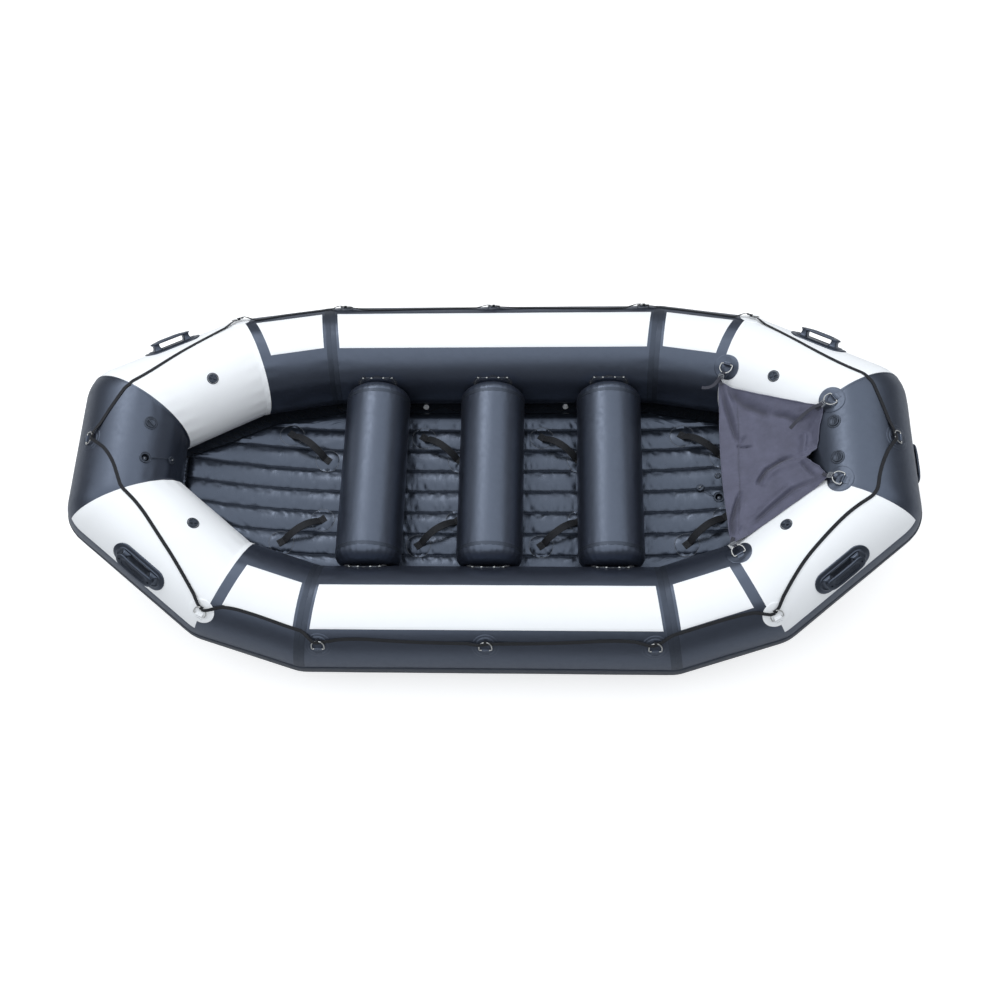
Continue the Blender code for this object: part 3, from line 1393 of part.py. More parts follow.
def build():
    clear_scene()
    collection = make_collection()
    materials = make_materials()
    tubes = make_tubes()
    outer, bag_seats = make_seats(tubes)
    hulls = {}
    for key, tube in tubes.items():
        skin = materials["white"] if key[0] == "corner" else materials["black"]
        hull = tube.solid(TUBE_RADIUS, -FIT_GAP / 2, skin, collection)
        if key[0] in ("side", "quarter"):
            margins = (SIDE_PANEL_MARGIN, SIDE_PANEL_MARGIN)
            if key[0] == "quarter":
                margins = (SIDE_PANEL_MARGIN, QUARTER_PANEL_MARGIN)
            combine(hull, panel_slab(tube, margins, materials["white"], collection), "UNION")
        hulls[tube.name] = hull
    for seat in outer + bag_seats:
        pad_and_tunnel(seat, hulls[seat.owner.name], materials, collection)
    for seat in outer:
        d_ring(seat, RING_TILT, materials, collection)
    for seat in bag_seats:
        d_ring(seat, BAG_RING_TILT, materials, collection)
    valves(tubes, hulls, materials, collection)
    for side in (PORT, STARBOARD):
        for fore in (BOW, STERN):
            tube = tubes["corner", fore, side]
            name = f"carry_handle_{FORE_NAME[fore]}_{SIDE_NAME[side]}"
            handle(name, tube, HANDLE_ALONG_CORNER, HANDLE_ANGLE, 0.0, materials, collection)
    strake(tubes, FIT_GAP + RUNNING_GAP, 0.0, materials, collection)
    for fore in (BOW, STERN):
        tube = tubes["end", fore]
        name = f"carry_handle_{FORE_NAME[fore]}"
        middle = tube.length / 2
        body = handle(name, tube, middle, END_HANDLE_ANGLE, STRAKE_THICKNESS, materials, collection)
        channel = strake(tubes, -OVERRUN, RUNNING_GAP, materials, collection)
        combine(body, channel, "DIFFERENCE")
    for label, x in (("stern", -THWART_X), ("centre", 0.0), ("bow", THWART_X)):
        body = thwart(f"thwart_{label}", x, materials, collection)
        for side in (PORT, STARBOARD):
            clear = tubes["side", side].solid(TUBE_RADIUS + FIT_GAP, 0.0, materials["black"], collection)
            combine(body, clear, "DIFFERENCE")
    body = floor(tubes, materials, collection)
    floor_fittings(body, materials, collection)
    for side in (PORT, STARBOARD):
        for n, x in enumerate(FOOT_STRAP_X):
            foot_strap(f"foot_strap_{SIDE_NAME[side]}_{n + 1}", x, side, materials, collection)
    grab_line(tubes, outer, materials, collection)
    bag(bag_seats, materials, collection)
    rest_on_ground(hulls)
    for item in collection.objects:
        if item.type == "MESH":
            smooth(item)


def valves(tubes, hulls, materials, collection):
    """Four caps on the corner tubes, two on each end tube; one stern valve stands open."""
    for side in (PORT, STARBOARD):
        for fore in (BOW, STERN):
            tube = tubes["corner", fore, side]
            frame = surface_frame(tube, CORNER_VALVE_FROM_SEAM, CORNER_VALVE_ANGLE)
            bore = CORNER_CAP_RADIUS + RUNNING_GAP
            skin = hulls[tube.name].data.materials[0]
            surface = tube.solid(TUBE_RADIUS + VALVE_FLANGE, 0.0, skin, collection)
            rim = bore + VALVE_RIM_CORNER
            valve_seat(hulls[tube.name], frame, rim, bore, CAP_DEPTH + FIT_GAP, surface, collection)
            name = f"valve_cap_corner_{FORE_NAME[fore]}_{SIDE_NAME[side]}"
            valve_cap(name, frame, CORNER_CAP_RADIUS, CORNER_CAP_BARS, materials, collection)
    for fore in (BOW, STERN):
        tube = tubes["end", fore]
        hull = hulls[tube.name]
        for side in (PORT, STARBOARD):
            frame = surface_frame(tube, tube.length / 2 + side * END_VALVE_Y, END_VALVE_ANGLE)
            surface = tube.solid(TUBE_RADIUS + VALVE_FLANGE, 0.0, hull.data.materials[0], collection)
            if (fore, side) == (STERN, STARBOARD):
                open_valve(hull, frame, surface, collection)
                poppet("valve_poppet_stern", frame, materials, collection)
                stern_loose_cap(tube, materials, collection)
                continue
            bore = END_CAP_RADIUS + RUNNING_GAP
            valve_seat(hull, frame, bore + VALVE_RIM_END, bore, CAP_DEPTH + FIT_GAP, surface, collection)
            name = f"valve_cap_{FORE_NAME[fore]}_{SIDE_NAME[side]}"
            valve_cap(name, frame, END_CAP_RADIUS, END_CAP_BARS, materials, collection)


def stern_loose_cap(tube, materials, collection):
    """The stern valve's cap, hanging down the tube's inboard face on its tether."""
    along = tube.length / 2 - END_VALVE_Y
    frame = surface_frame(tube, along + LOOSE_CAP_FROM_VALVE, LOOSE_CAP_ANGLE)
    frame = frame @ Matrix.Translation((0.0, 0.0, RUNNING_GAP))
    rim = math.degrees((VALVE_BORE_RADIUS + VALVE_RIM_END / 2) / TUBE_RADIUS)
    angle = END_VALVE_ANGLE + rim
    anchor = tube.point(along, angle, VALVE_FLANGE + TETHER_THICKNESS / 2 + RUNNING_GAP)
    half_way = (angle + LOOSE_CAP_ANGLE) / 2
    middle = tube.point(along + LOOSE_CAP_FROM_VALVE / 2, half_way, TETHER_ARCH)
    loose_cap("valve_cap_stern_loose", frame, anchor, middle, tube.normal(angle), materials, collection)


def rest_on_ground(hulls):
    """The raft's weight presses flat whatever would reach below the undersides of its side tubes."""
    for hull in hulls.values():
        bm = bmesh.new()
        bm.from_mesh(hull.data)
        if min(vert.co.z for vert in bm.verts) < -FIT_GAP / 10:
            cut(bm, Vector((0.0, 0.0, 0.0)), -UP)
            bmesh.ops.recalc_face_normals(bm, faces=bm.faces)
            bm.to_mesh(hull.data)
        bm.free()


build()
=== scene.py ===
import json
from math import asin, atan2, ceil, copysign, cos, degrees, exp, floor, hypot, pi, radians, sin, sqrt

import bmesh
import bpy
from mathutils import Matrix, Vector, noise


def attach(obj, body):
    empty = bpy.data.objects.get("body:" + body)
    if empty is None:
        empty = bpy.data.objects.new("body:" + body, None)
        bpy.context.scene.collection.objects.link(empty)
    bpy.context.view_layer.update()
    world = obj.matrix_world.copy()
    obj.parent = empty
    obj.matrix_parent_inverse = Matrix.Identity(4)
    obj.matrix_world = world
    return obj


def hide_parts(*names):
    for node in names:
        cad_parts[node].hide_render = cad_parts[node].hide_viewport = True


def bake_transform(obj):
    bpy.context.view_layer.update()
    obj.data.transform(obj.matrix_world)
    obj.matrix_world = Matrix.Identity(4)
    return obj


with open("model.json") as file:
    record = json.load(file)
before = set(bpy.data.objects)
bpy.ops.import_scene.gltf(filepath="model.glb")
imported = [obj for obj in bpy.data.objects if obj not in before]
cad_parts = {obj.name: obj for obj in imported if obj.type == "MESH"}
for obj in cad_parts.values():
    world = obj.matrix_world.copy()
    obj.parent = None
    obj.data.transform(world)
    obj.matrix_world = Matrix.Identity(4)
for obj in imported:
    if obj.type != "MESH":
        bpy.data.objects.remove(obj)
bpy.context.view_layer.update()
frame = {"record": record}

BODY_OF = {
    node: body for body, nodes in frame["record"]["behaviour"]["bodies"].items() for node in nodes
}
ROOT = BODY_OF["floor"]
BOW, STERN = 1, -1
PORT, STARBOARD = 1, -1
FORE_NAME = {BOW: "bow", STERN: "stern"}
SIDE_NAME = {PORT: "port", STARBOARD: "starboard"}
CORNERS = [(fore, side) for side in (PORT, STARBOARD) for fore in (BOW, STERN)]
UP = Vector((0.0, 0.0, 1.0))
ACROSS = Vector((0.0, 1.0, 0.0))

# Sizes and places, in metres and degrees; most are the CAD frame's own
TUBE_RADIUS = 0.250
AXIS_HEIGHT = TUBE_RADIUS * cos(pi / 40)
RING_CORNERS = ((0.845, 0.718, 0.0), (1.265, 0.602, 0.081), (1.733, 0.241, 0.263))
SIDE_HALF_BEAM = RING_CORNERS[0][1]
WIRE_RADIUS = 0.003
RING_HALF_WIDTH = 0.029
RING_LEG = 0.018
RING_CORNER_RADIUS = 0.006
RING_TILT = 12.0
BAG_RING_TILT = 25.0
PAD_RADIUS = 0.062
BAR_OFFSET = 0.015
SIDE_RING_FROM_SEAM = 0.079
LINE_WIDTH = 0.016
LINE_THICKNESS = 0.003
THWART_RADIUS = 0.160
THWART_RISE = 0.045
THWART_AXIS = AXIS_HEIGHT + THWART_RISE
CHAMBERS = 8
CHAMBER_PITCH = 0.116
FLOOR_MIDDLE = 0.008 + 0.118 / 2
FLOOR_CREST = 0.118 / 2
FLOOR_WEB = 0.084 / 2
FLOOR_INSET = 0.254
FLOOR_EDGE = 0.4639
FLOOR_STATIONS = (0.725, 0.925, 1.185, 1.365, 1.600)
FLANGE_HEIGHT = 0.0615
FLOOR_VALVE = (1.130, -CHAMBER_PITCH / 2)
RELIEF_VALVE = (1.130, CHAMBER_PITCH / 2)
END_VALVE_Y = 0.090
END_VALVE_ANGLE = 126.0
VALVE_BORE_RADIUS = 0.0190
VALVE_CUP = -0.0285
VALVE_TOP = 0.0062
EYE_RADIUS = 0.0262
SIDE_RING_ANGLE = 43.0
CORNER_RING_ANGLE = 52.0
END_RING_ANGLE = 60.0
BAG_AFT_ANGLE = 125.0
BAG_FORE_ANGLE = 125.5
BAG_FORE_SHIFT = 0.010
THWART_PLACES = (("stern", -0.585), ("centre", 0.0), ("bow", 0.585))
STRAP_PLACES = (-0.955, -0.270, 0.343, 1.060)
STRAP_HALF_SPAN = 0.083
STRAP_WIDTH = 0.038
FLANGE_INSET = 0.268
HANDLE_LENGTH = 0.290
HANDLE_WIDTH = 0.115


def corner_name(fore, side):
    return f"{FORE_NAME[fore]}_{SIDE_NAME[side]}"


# Materials


def new_material(name):
    """A material, its tree and its shader."""
    material = bpy.data.materials.new(name)
    material.use_nodes = True
    return material, material.node_tree, material.node_tree.nodes["Principled BSDF"]


def feed(tree, node, inputs):
    """Sets each named input to a value, or links it when it is another node's output."""
    for key, value in inputs.items():
        if isinstance(value, bpy.types.NodeSocket):
            tree.links.new(value, node.inputs[key])
        else:
            node.inputs[key].default_value = value


def add(tree, kind, inputs, output=0, **settings):
    """A new node with its inputs fed; gives the chosen output."""
    node = tree.nodes.new("ShaderNode" + kind)
    for key, value in settings.items():
        setattr(node, key, value)
    feed(tree, node, inputs)
    return node.outputs[output]


def noise_node(tree, place, scale, detail, roughness=0.5):
    return add(tree, "TexNoise", {"Vector": place, "Scale": scale, "Detail": detail, "Roughness": roughness}, "Fac")


def shade(colour, factor):
    return (*(min(1.0, c * factor) for c in colour), 1.0)


def ramp(tree, source, limits, colour, factors):
    """A darker to a lighter shade of a colour, between two values of the source."""
    node = tree.nodes.new("ShaderNodeValToRGB")
    for element, place, factor in zip(node.color_ramp.elements, limits, factors):
        element.position = place
        element.color = shade(colour, factor)
    tree.links.new(source, node.inputs["Fac"])
    return node.outputs["Color"]


def coated(name, slot, colour, roughness, variation=0.10, grain=0.10, weave=0.04, specular=0.5, tint=(1, 1, 1),
           index=1.5, stretch=(1, 1, 1)):
    """Coated fabric: cloudy colour, uneven gloss, a soft unevenness and the base cloth's fine weave."""
    material, tree, shader = new_material(name)
    place = add(tree, "TexCoord", {}, "Object")
    cloud = noise_node(tree, place, 5.0, 5.0, 0.6)
    smear = noise_node(tree, place, 38.0, 6.0, 0.7)
    gloss = add(tree, "MapRange", {
        "Value": smear, "From Min": 0.3, "From Max": 0.7, "To Min": roughness - 0.05, "To Max": roughness + 0.07,
    })
    stretched = add(tree, "Mapping", {"Vector": place, "Scale": stretch})
    uneven = noise_node(tree, stretched, 22.0, 3.0)
    soft = add(tree, "Bump", {"Height": uneven, "Strength": grain, "Distance": 0.004})
    threads = add(tree, "TexVoronoi", {"Vector": place, "Scale": 700.0}, "Distance")
    fine = add(tree, "Bump", {"Height": threads, "Normal": soft, "Strength": weave, "Distance": 0.0006})
    feed(tree, shader, {
        "Base Color": ramp(tree, cloud, (0.3, 0.7), colour, (1 - variation, 1 + variation)),
        "Roughness": gloss, "Normal": fine,
        "Specular IOR Level": specular, "Specular Tint": (*tint, 1.0), "IOR": index,
    })
    return material


def woven(name, colour, pitch, roughness=0.85, sheen=0.1, depth=0.5, painted_shade=None):
    """Woven tape or cloth: two crossed sets of threads, in metres along and across the piece. The painted shade is the
    name of a vertex value by which the cloth's colour is darkened: painted shade in its creases and along its sewn
    line."""
    material, tree, shader = new_material(name)
    place = add(tree, "TexCoord", {}, "UV")
    warp, weft = (
        add(tree, "TexWave", {"Vector": place, "Scale": 0.314 / pitch, "Distortion": 0.6, "Detail Scale": 3.0}, "Fac",
            bands_direction=direction)
        for direction in ("X", "Y")
    )
    both = add(tree, "Math", {0: warp, 1: weft}, operation="MULTIPLY")
    cloud = noise_node(tree, place, 14.0, 6.0, 0.65)
    mixed = add(tree, "Math", {0: both, 1: 0.45, 2: cloud}, operation="MULTIPLY_ADD")
    cloth = ramp(tree, mixed, (0.3, 0.95), colour, (0.75, 1.30))
    if painted_shade:
        # painted shade: the colour is darkened towards about a third of itself where the vertex value is high
        painted_shade_level = add(tree, "Attribute", {}, "Fac", attribute_name=painted_shade)
        cloth = add(tree, "Mix", {"Factor": painted_shade_level, 6: cloth, 7: shade(colour, 0.36)}, 2, data_type="RGBA")
    bump = add(tree, "Bump", {"Height": both, "Strength": depth, "Distance": pitch * 0.35})
    feed(tree, shader, {"Base Color": cloth, "Normal": bump, "Roughness": roughness, "Sheen Weight": sheen})
    return material


def metal(name, colour, roughness):
    material, tree, shader = new_material(name)
    smear = noise_node(tree, add(tree, "TexCoord", {}, "Object"), 160.0, 4.0)
    gloss = add(tree, "MapRange", {"Value": smear, "To Min": roughness - 0.05, "To Max": roughness + 0.12})
    feed(tree, shader, {
        "Base Color": ramp(tree, smear, (0.3, 0.7), colour, (0.9, 1.08)), "Roughness": gloss, "Metallic": 1.0,
    })
    return material


DARK = {"specular": 1.0, "tint": (0.66, 0.77, 1.0)}
BLACK = coated("black_coated_fabric", "black_pvc", (0.0085, 0.0098, 0.0150), 0.38, 0.12, index=1.74, **DARK)
WHITE = coated("white_coated_fabric", "white_pvc", (0.90, 0.91, 0.925), 0.38, 0.012, 0.06)
TAPE = coated("seam_tape", "black_pvc", (0.0075, 0.0088, 0.0118), 0.46, 0.12, 0.16, index=1.58, **DARK)
FLOOR = coated("floor_coated_fabric", "floor_pvc", (0.0085, 0.0105, 0.0145), 0.31, 0.15, 0.30, index=1.64,
               stretch=(1.9, 0.35, 0.35), **DARK)
STRAKE = coated("strake_rubber", "strake_rubber", (0.010, 0.0115, 0.015), 0.48, 0.15, 0.12, **DARK)
RUBBER = coated("handle_rubber", "handle_rubber", (0.0120, 0.0140, 0.0185), 0.32, 0.15, 0.12, 0.06, index=1.62, **DARK)
PLASTIC = coated("valve_plastic", "valve_plastic", (0.022, 0.025, 0.031), 0.40, 0.12, 0.05, 0.02, **DARK)
STEEL = metal("stainless_steel", (0.60, 0.60, 0.59), 0.30)
WEBBING = woven("black_webbing", (0.0095, 0.0105, 0.0140), 0.0016, 0.80, 0.05)
LACE = woven("pale_lacing_cord", (0.55, 0.56, 0.55), 0.0012)
# the bag cloth carries painted shade in its creases, from the vertex value named crease
CLOTH = woven("grey_bag_cloth", (0.088, 0.090, 0.138), 0.0011, 0.66, 0.12, 0.35, painted_shade="crease")
BAG_TAPE = woven("grey_bag_tape", (0.034, 0.035, 0.050), 0.0014, 0.75)
STITCH = woven("stitching_thread", (0.040, 0.042, 0.048), 0.0008, 0.7)
BUCKLE = coated("buckle_plastic", "valve_plastic", (0.20, 0.21, 0.23), 0.45, 0.06, 0.05, 0.02)
# a paler grey than the black fabric, for the bound edges of the thwarts' feet and the rims of the foot straps' patches
LIGHT_THREAD = woven("pale_grey_edge", (0.16, 0.17, 0.19), 0.0012, 0.6)


# Mesh tools

def linked(name, data):
    item = bpy.data.objects.new(name, data)
    bpy.context.scene.collection.objects.link(item)
    return item


def object_from(name, bm):
    mesh = bpy.data.meshes.new(name)
    bm.to_mesh(mesh)
    bm.free()
    return linked(name, mesh)


def piece(name, bm, material, body=ROOT, replaces=(), angle=35.0):
    bmesh.ops.recalc_face_normals(bm, faces=bm.faces)
    item = object_from(name, bm)
    item.data.materials.append(material)
    item.data.shade_smooth()
    item.data.set_sharp_from_angle(angle=radians(angle))
    if body:
        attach(item, body)
    if replaces:
        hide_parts(*replaces)
    return item


def turns(count):
    return [2 * pi * k / count for k in range(count)]


def circle(matrix, radius, height, count):
    return [matrix @ Vector((radius * cos(a), radius * sin(a), height)) for a in turns(count)]


def circle_on(surface, radius, height, count):
    """A circle laid on a surface, which is a function of x, y and the height above it."""
    return [surface(radius * cos(a), radius * sin(a), height) for a in turns(count)]


def evenly(first, last, count):
    """The places between first and last that divide the way into count steps."""
    return [first + (last - first) * n / count for n in range(1, count)]


def smooth(share):
    return share * share * (3 - 2 * share)


def loft(rings, bm=None, wrap=False, caps=True):
    """Quads between rings of points; each ring is a closed loop."""
    bm = bmesh.new() if bm is None else bm
    rows = [[bm.verts.new(p) for p in ring] for ring in rings]
    count = len(rows[0])
    for here, there in zip(rows, rows[1:] + (rows[:1] if wrap else [])):
        for k in range(count):
            bm.faces.new((here[k], here[(k + 1) % count], there[(k + 1) % count], there[k]))
    if caps and not wrap:
        bm.faces.new(rows[0])
        bm.faces.new(rows[-1][::-1])
    return bm


def slab(tops, lows, bm=None):
    """A closed thin sheet between two grids of points."""
    return loft([top + low[::-1] for top, low in zip(tops, lows)], bm)


def turned(profile, matrix, steps, bm=None):
    """A profile of (radius, height) pairs turned about the matrix's Z."""
    return loft([circle(matrix, radius, height, steps) for radius, height in profile], bm)


def way_at(points, n, closed):
    """The way a line of points runs at one of them."""
    count = len(points)
    before = points[(n - 1) % count] if closed or n else points[n]
    after = points[(n + 1) % count] if closed or n < count - 1 else points[n]
    return (after - before).normalized()


def swept(points, radius, sides, closed=False, up=None, bm=None):
    """A round bar along points."""
    rings = []
    side = None
    for n, place in enumerate(points):
        run = way_at(points, n, closed)
        if up is not None:
            side = up.cross(run).normalized()
        elif side is None:
            side = run.orthogonal().normalized()
        else:
            side = (side - run * side.dot(run)).normalized()
        other = run.cross(side)
        rings.append([place + side * (radius * cos(a)) + other * (radius * sin(a)) for a in turns(sides)])
    return loft(rings, bm, closed)


def strip(points, normals, width, thickness, closed=False, crown=0.0):
    """Webbing along points, its thickness along the normals, with rounded selvedges and UVs in metres."""
    bm = bmesh.new()
    layer = bm.loops.layers.uv.verify()
    count = len(points)
    shares = ((-1.0, -0.35), (-0.93, 0.5), (-0.5, 0.5 + crown), (0.0, 0.5 + crown), (0.5, 0.5 + crown),
              (0.93, 0.5), (1.0, -0.35), (0.93, -0.5), (0.0, -0.5), (-0.93, -0.5))
    rings = []
    runs = [0.0]
    for n, (place, normal) in enumerate(zip(points, normals)):
        run = way_at(points, n, closed)
        across = run.cross(normal).normalized()
        out = across.cross(run).normalized()
        rings.append([bm.verts.new(place + across * (width / 2 * a) + out * (thickness * b)) for a, b in shares])
        runs.append(runs[-1] + (points[(n + 1) % count] - place).length)
    for n in range(count if closed else count - 1):
        here, there = rings[n], rings[(n + 1) % count]
        for k in range(len(shares)):
            j = (k + 1) % len(shares)
            face = bm.faces.new((here[k], here[j], there[j], there[k]))
            for loop, (v, a) in zip(face.loops, ((n, k), (n, j), (n + 1, j), (n + 1, k))):
                loop[layer].uv = (shares[a][0] * width / 2, runs[v])
    if not closed:
        bm.faces.new(rings[0])
        bm.faces.new(rings[-1][::-1])
    return bm


def eased(points, times):
    """Chaikin's corner cutting on an open line of points."""
    for _ in range(times):
        cut = [points[0]]
        for here, there in zip(points, points[1:]):
            cut += [here.lerp(there, 0.25), here.lerp(there, 0.75)]
        points = cut + [points[-1]]
    return points


def placed(x_way, y_way, origin):
    x_axis = x_way.normalized()
    z_axis = x_axis.cross(y_way).normalized()
    y_axis = z_axis.cross(x_axis)
    return Matrix.Translation(origin) @ Matrix((x_axis, y_axis, z_axis)).transposed().to_4x4()


def stadium(length, width, steps, straight):
    """The outline of a bar with round ends, lying along X, with the same count of points for any size."""
    radius = width / 2
    reach = max(0.0, length / 2 - radius)
    outline = []
    for side in (1, -1):
        for n in range(steps + 1):
            turn = radians(-90 + 180 * n / steps)
            outline.append((side * (reach + radius * cos(turn)), side * radius * sin(turn)))
        for n in range(1, straight):
            outline.append((side * reach * (1 - 2 * n / straight), side * radius))
    return outline


def rounded_rectangle(wide, tall, radius, steps=6):
    """An outline with rounded corners, from its half width and half height."""
    outline = []
    for sx, sy, start in ((1, -1, -90), (1, 1, 0), (-1, 1, 90), (-1, -1, 180)):
        for n in range(steps + 1):
            turn = radians(start + 90 * n / steps)
            outline.append((sx * (wide - radius) + radius * cos(turn), sy * (tall - radius) + radius * sin(turn)))
    return outline


def boolean(item, cutters):
    for cutter in cutters:
        modifier = item.modifiers.new("cut", "BOOLEAN")
        modifier.operation = "DIFFERENCE"
        modifier.solver = "EXACT"
        modifier.object = cutter
        bpy.context.view_layer.update()
        mesh = bpy.data.meshes.new_from_object(item.evaluated_get(bpy.context.evaluated_depsgraph_get()))
        item.modifiers.clear()
        item.data = mesh
        bpy.data.objects.remove(cutter)


def bore(item, place, top):
    """A valve's bore, and the narrower one for its plunger's stem."""
    cutters = []
    for radius, low, high in ((VALVE_BORE_RADIUS, -0.030, top), (0.0036, -0.046, -0.02)):
        bm = bmesh.new()
        bmesh.ops.create_cone(
            bm, cap_ends=True, segments=32, radius1=radius, radius2=radius, depth=high - low,
            matrix=place @ Matrix.Translation((0.0, 0.0, (low + high) / 2)),
        )
        cutters.append(object_from("cutter", bm))
    boolean(item, cutters)


# The hull ring

ROUNDING = (0.030, 0.034, 0.085)
PUCKER = (0.0006, 0.0009, 0.0012)
UNEVENNESS = 0.0007


class Tube:
    """One straight length of the hull, between two mitres, with its corners softened."""

    def __init__(self, name, start, end, joints):
        self.name = name
        self.start = start
        self.end = end
        self.joints = joints
        self.length = (end - start).length
        self.along = (end - start).normalized()
        self.up = (UP - self.along * self.along.z).normalized()
        outward = self.along.cross(self.up)
        middle = (start + end) / 2
        self.out = outward if outward.dot(Vector((middle.x, middle.y, 0.0))) > 0 else -outward
        self.mitres = [None, None]

    def meet(self, which, other):
        """Sets the mitre at one end from the neighbour there."""
        corner = (self.start, self.end)[which]
        far = other.end if (other.start - corner).length < 1e-6 else other.start
        leaving = self.along if which else -self.along
        away = (far - corner).normalized()
        self.mitres[which] = (corner, (leaving + away).normalized(), away - leaving, (leaving - away).normalized())

    def normal(self, angle):
        turn = radians(angle)
        return self.out * cos(turn) + self.up * sin(turn)

    def round_way(self, angle):
        return self.normal(angle + 90.0)

    def point(self, along, angle, height=0.0):
        return self.start + self.along * along + self.normal(angle) * (TUBE_RADIUS + height)

    def mitre_at(self, which, angle, height=0.0, inset=0.0):
        corner, normal, _, _ = self.mitres[which]
        base = self.point(0.0, angle, height)
        return (corner - normal * inset - base).dot(normal) / self.along.dot(normal)

    def ends(self, angle, height=0.0):
        return self.mitre_at(0, angle, height), self.mitre_at(1, angle, height)

    def skin(self, along, angle, height=0.0):
        """A point of the soft outer surface: the straight tube with rounded corners and faint unevenness."""
        place = self.point(along, angle, height)
        lift = 0.0
        for which in (0, 1):
            corner, _, turn, convex = self.mitres[which]
            at = self.mitre_at(which, angle, height)
            span = abs(along - at)
            if span > 0.16:
                continue
            side = (self.point(at, angle) - corner).dot(convex) / TUBE_RADIUS
            reach = 0.008 + ROUNDING[self.joints[which]] * max(0.0, side)
            if span < reach:
                place += turn * ((reach - span) ** 2 / (4 * reach))
            hollow = min(1.0, max(0.0, 0.35 - side)) * PUCKER[self.joints[which]]
            if hollow > 0.0:
                share = span / 0.030
                lift += hollow * share * exp(1 - share) * (
                    sin(angle * 0.42) + 0.8 * noise.noise(Vector((angle * 0.11, which, self.length * 7)))
                )
        lift += UNEVENNESS * noise.noise(place * 7.0)
        place += self.normal(angle) * lift
        if place.z < height:
            place.z = max(place.z, min(0.0, height))
        return place

    def locate(self, place):
        """A place's distance along the tube and its angle."""
        offset = place - self.start
        along = offset.dot(self.along)
        offset -= self.along * along
        return along, degrees(atan2(offset.dot(self.up), offset.dot(self.out)))

    def off_axis(self, place):
        offset = place - self.start
        return offset - self.along * offset.dot(self.along)


def shared_end(one, other):
    for mine, place in enumerate((one.start, one.end)):
        for theirs, there in enumerate((other.start, other.end)):
            if (place - there).length < 1e-6:
                return mine, theirs


def ring_corner(fore, side, number):
    x, y, rise = RING_CORNERS[number]
    return Vector((fore * x, side * y, AXIS_HEIGHT + rise))


def make_tubes():
    tubes = {}
    for side in (PORT, STARBOARD):
        tubes["side", 0, side] = Tube(
            f"side_tube_{SIDE_NAME[side]}", ring_corner(STERN, side, 0), ring_corner(BOW, side, 0), (0, 0)
        )
        for fore in (BOW, STERN):
            for n, kind in enumerate(("quarter", "corner")):
                tubes[kind, fore, side] = Tube(
                    f"{kind}_tube_{corner_name(fore, side)}",
                    ring_corner(fore, side, n), ring_corner(fore, side, n + 1), (n, n + 1),
                )
    for fore in (BOW, STERN):
        tubes["end", fore, 0] = Tube(
            f"end_tube_{FORE_NAME[fore]}", ring_corner(fore, STARBOARD, 2), ring_corner(fore, PORT, 2), (2, 2)
        )
    for here, there in zip(ORDER, ORDER[1:] + ORDER[:1]):
        mine, theirs = shared_end(tubes[here], tubes[there])
        tubes[here].meet(mine, tubes[there])
        tubes[there].meet(theirs, tubes[here])
    return tubes


# the tubes' keys round the hull
ORDER = [
    ("side", 0, PORT), ("quarter", BOW, PORT), ("corner", BOW, PORT), ("end", BOW, 0),
    ("corner", BOW, STARBOARD), ("quarter", BOW, STARBOARD), ("side", 0, STARBOARD),
    ("quarter", STERN, STARBOARD), ("corner", STERN, STARBOARD), ("end", STERN, 0),
    ("corner", STERN, PORT), ("quarter", STERN, PORT),
]
TUBES = make_tubes()
NEAR_MITRE = (0.0, 0.003, 0.007, 0.012, 0.018, 0.025, 0.034, 0.045, 0.058, 0.074, 0.094)


def mirrored_angle(one, other, along, angle):
    return other.locate(one.point(along, angle))[1]


def valve_frame(tube, along, angle):
    normal = tube.normal(angle)
    x_way = tube.round_way(angle)
    return placed(x_way, normal.cross(x_way), tube.skin(along, angle))


def tube_skins():
    for key, tube in TUBES.items():
        steps = max(3, round((tube.length - 0.2) / 0.032))
        columns = []
        for angle in (360.0 * k / 120 for k in range(120)):
            low, high = tube.ends(angle)
            alongs = [low + d for d in NEAR_MITRE]
            alongs += evenly(low + NEAR_MITRE[-1], high - NEAR_MITRE[-1], steps)
            alongs += [high - d for d in reversed(NEAR_MITRE)]
            columns.append([tube.skin(a, angle) for a in alongs])
        item = piece(
            "skin_" + tube.name, loft(list(zip(*columns))), WHITE if key[0] == "corner" else BLACK,
            replaces=[tube.name],
        )
        if key == ("end", STERN, 0):
            bore(item, valve_frame(tube, tube.length / 2 - END_VALVE_Y, END_VALVE_ANGLE), 0.02)


def spread(first, last, count, edge=0.3):
    """Places from first to last with a close pair at each end."""
    return [first, first + edge] + evenly(first, last, count) + [last - edge, last]


# Sheets glued on each kind of tube: name, material and patches. A patch has the range and count of its angles, its two
# ends (which mitre, and how far short of it), its height and its steps along the tube.
TAPE_AROUND = (0.0, 359.4, 90)
WHITE_ANGLES = (61.5, 111.0, 14)
PANELS = {
    "side": (("white_panel_", WHITE, ((WHITE_ANGLES, ((0, 0.039), (1, 0.039)), 0.0012, 50),)),),
    "quarter": (("white_panel_", WHITE, ((WHITE_ANGLES, ((0, 0.039), (1, 0.071)), 0.0012, 16),)),),
}
BANDS = {
    "side": (("seam_tape_", TAPE, tuple((TAPE_AROUND, ((end, 0.0), (end, 0.026)), 0.0007, 4) for end in (0, 1))),),
    "quarter": (
        ("seam_tape_", TAPE, ((TAPE_AROUND, ((0, 0.0), (0, 0.026)), 0.0007, 4),)),
        ("white_edge_", WHITE, (((44.0, 214.0, 56), ((1, 0.021), (1, 0.0)), 0.0010, 4),)),
    ),
    "corner": (("black_wrap_", BLACK, (
        ((-146.0, 24.0, 50), ((0, 0.0), (1, 0.0)), 0.0010, 26),
        ((20.0, 214.0, 60), ((1, 0.010), (1, 0.0)), 0.0012, 5),
    )),),
}


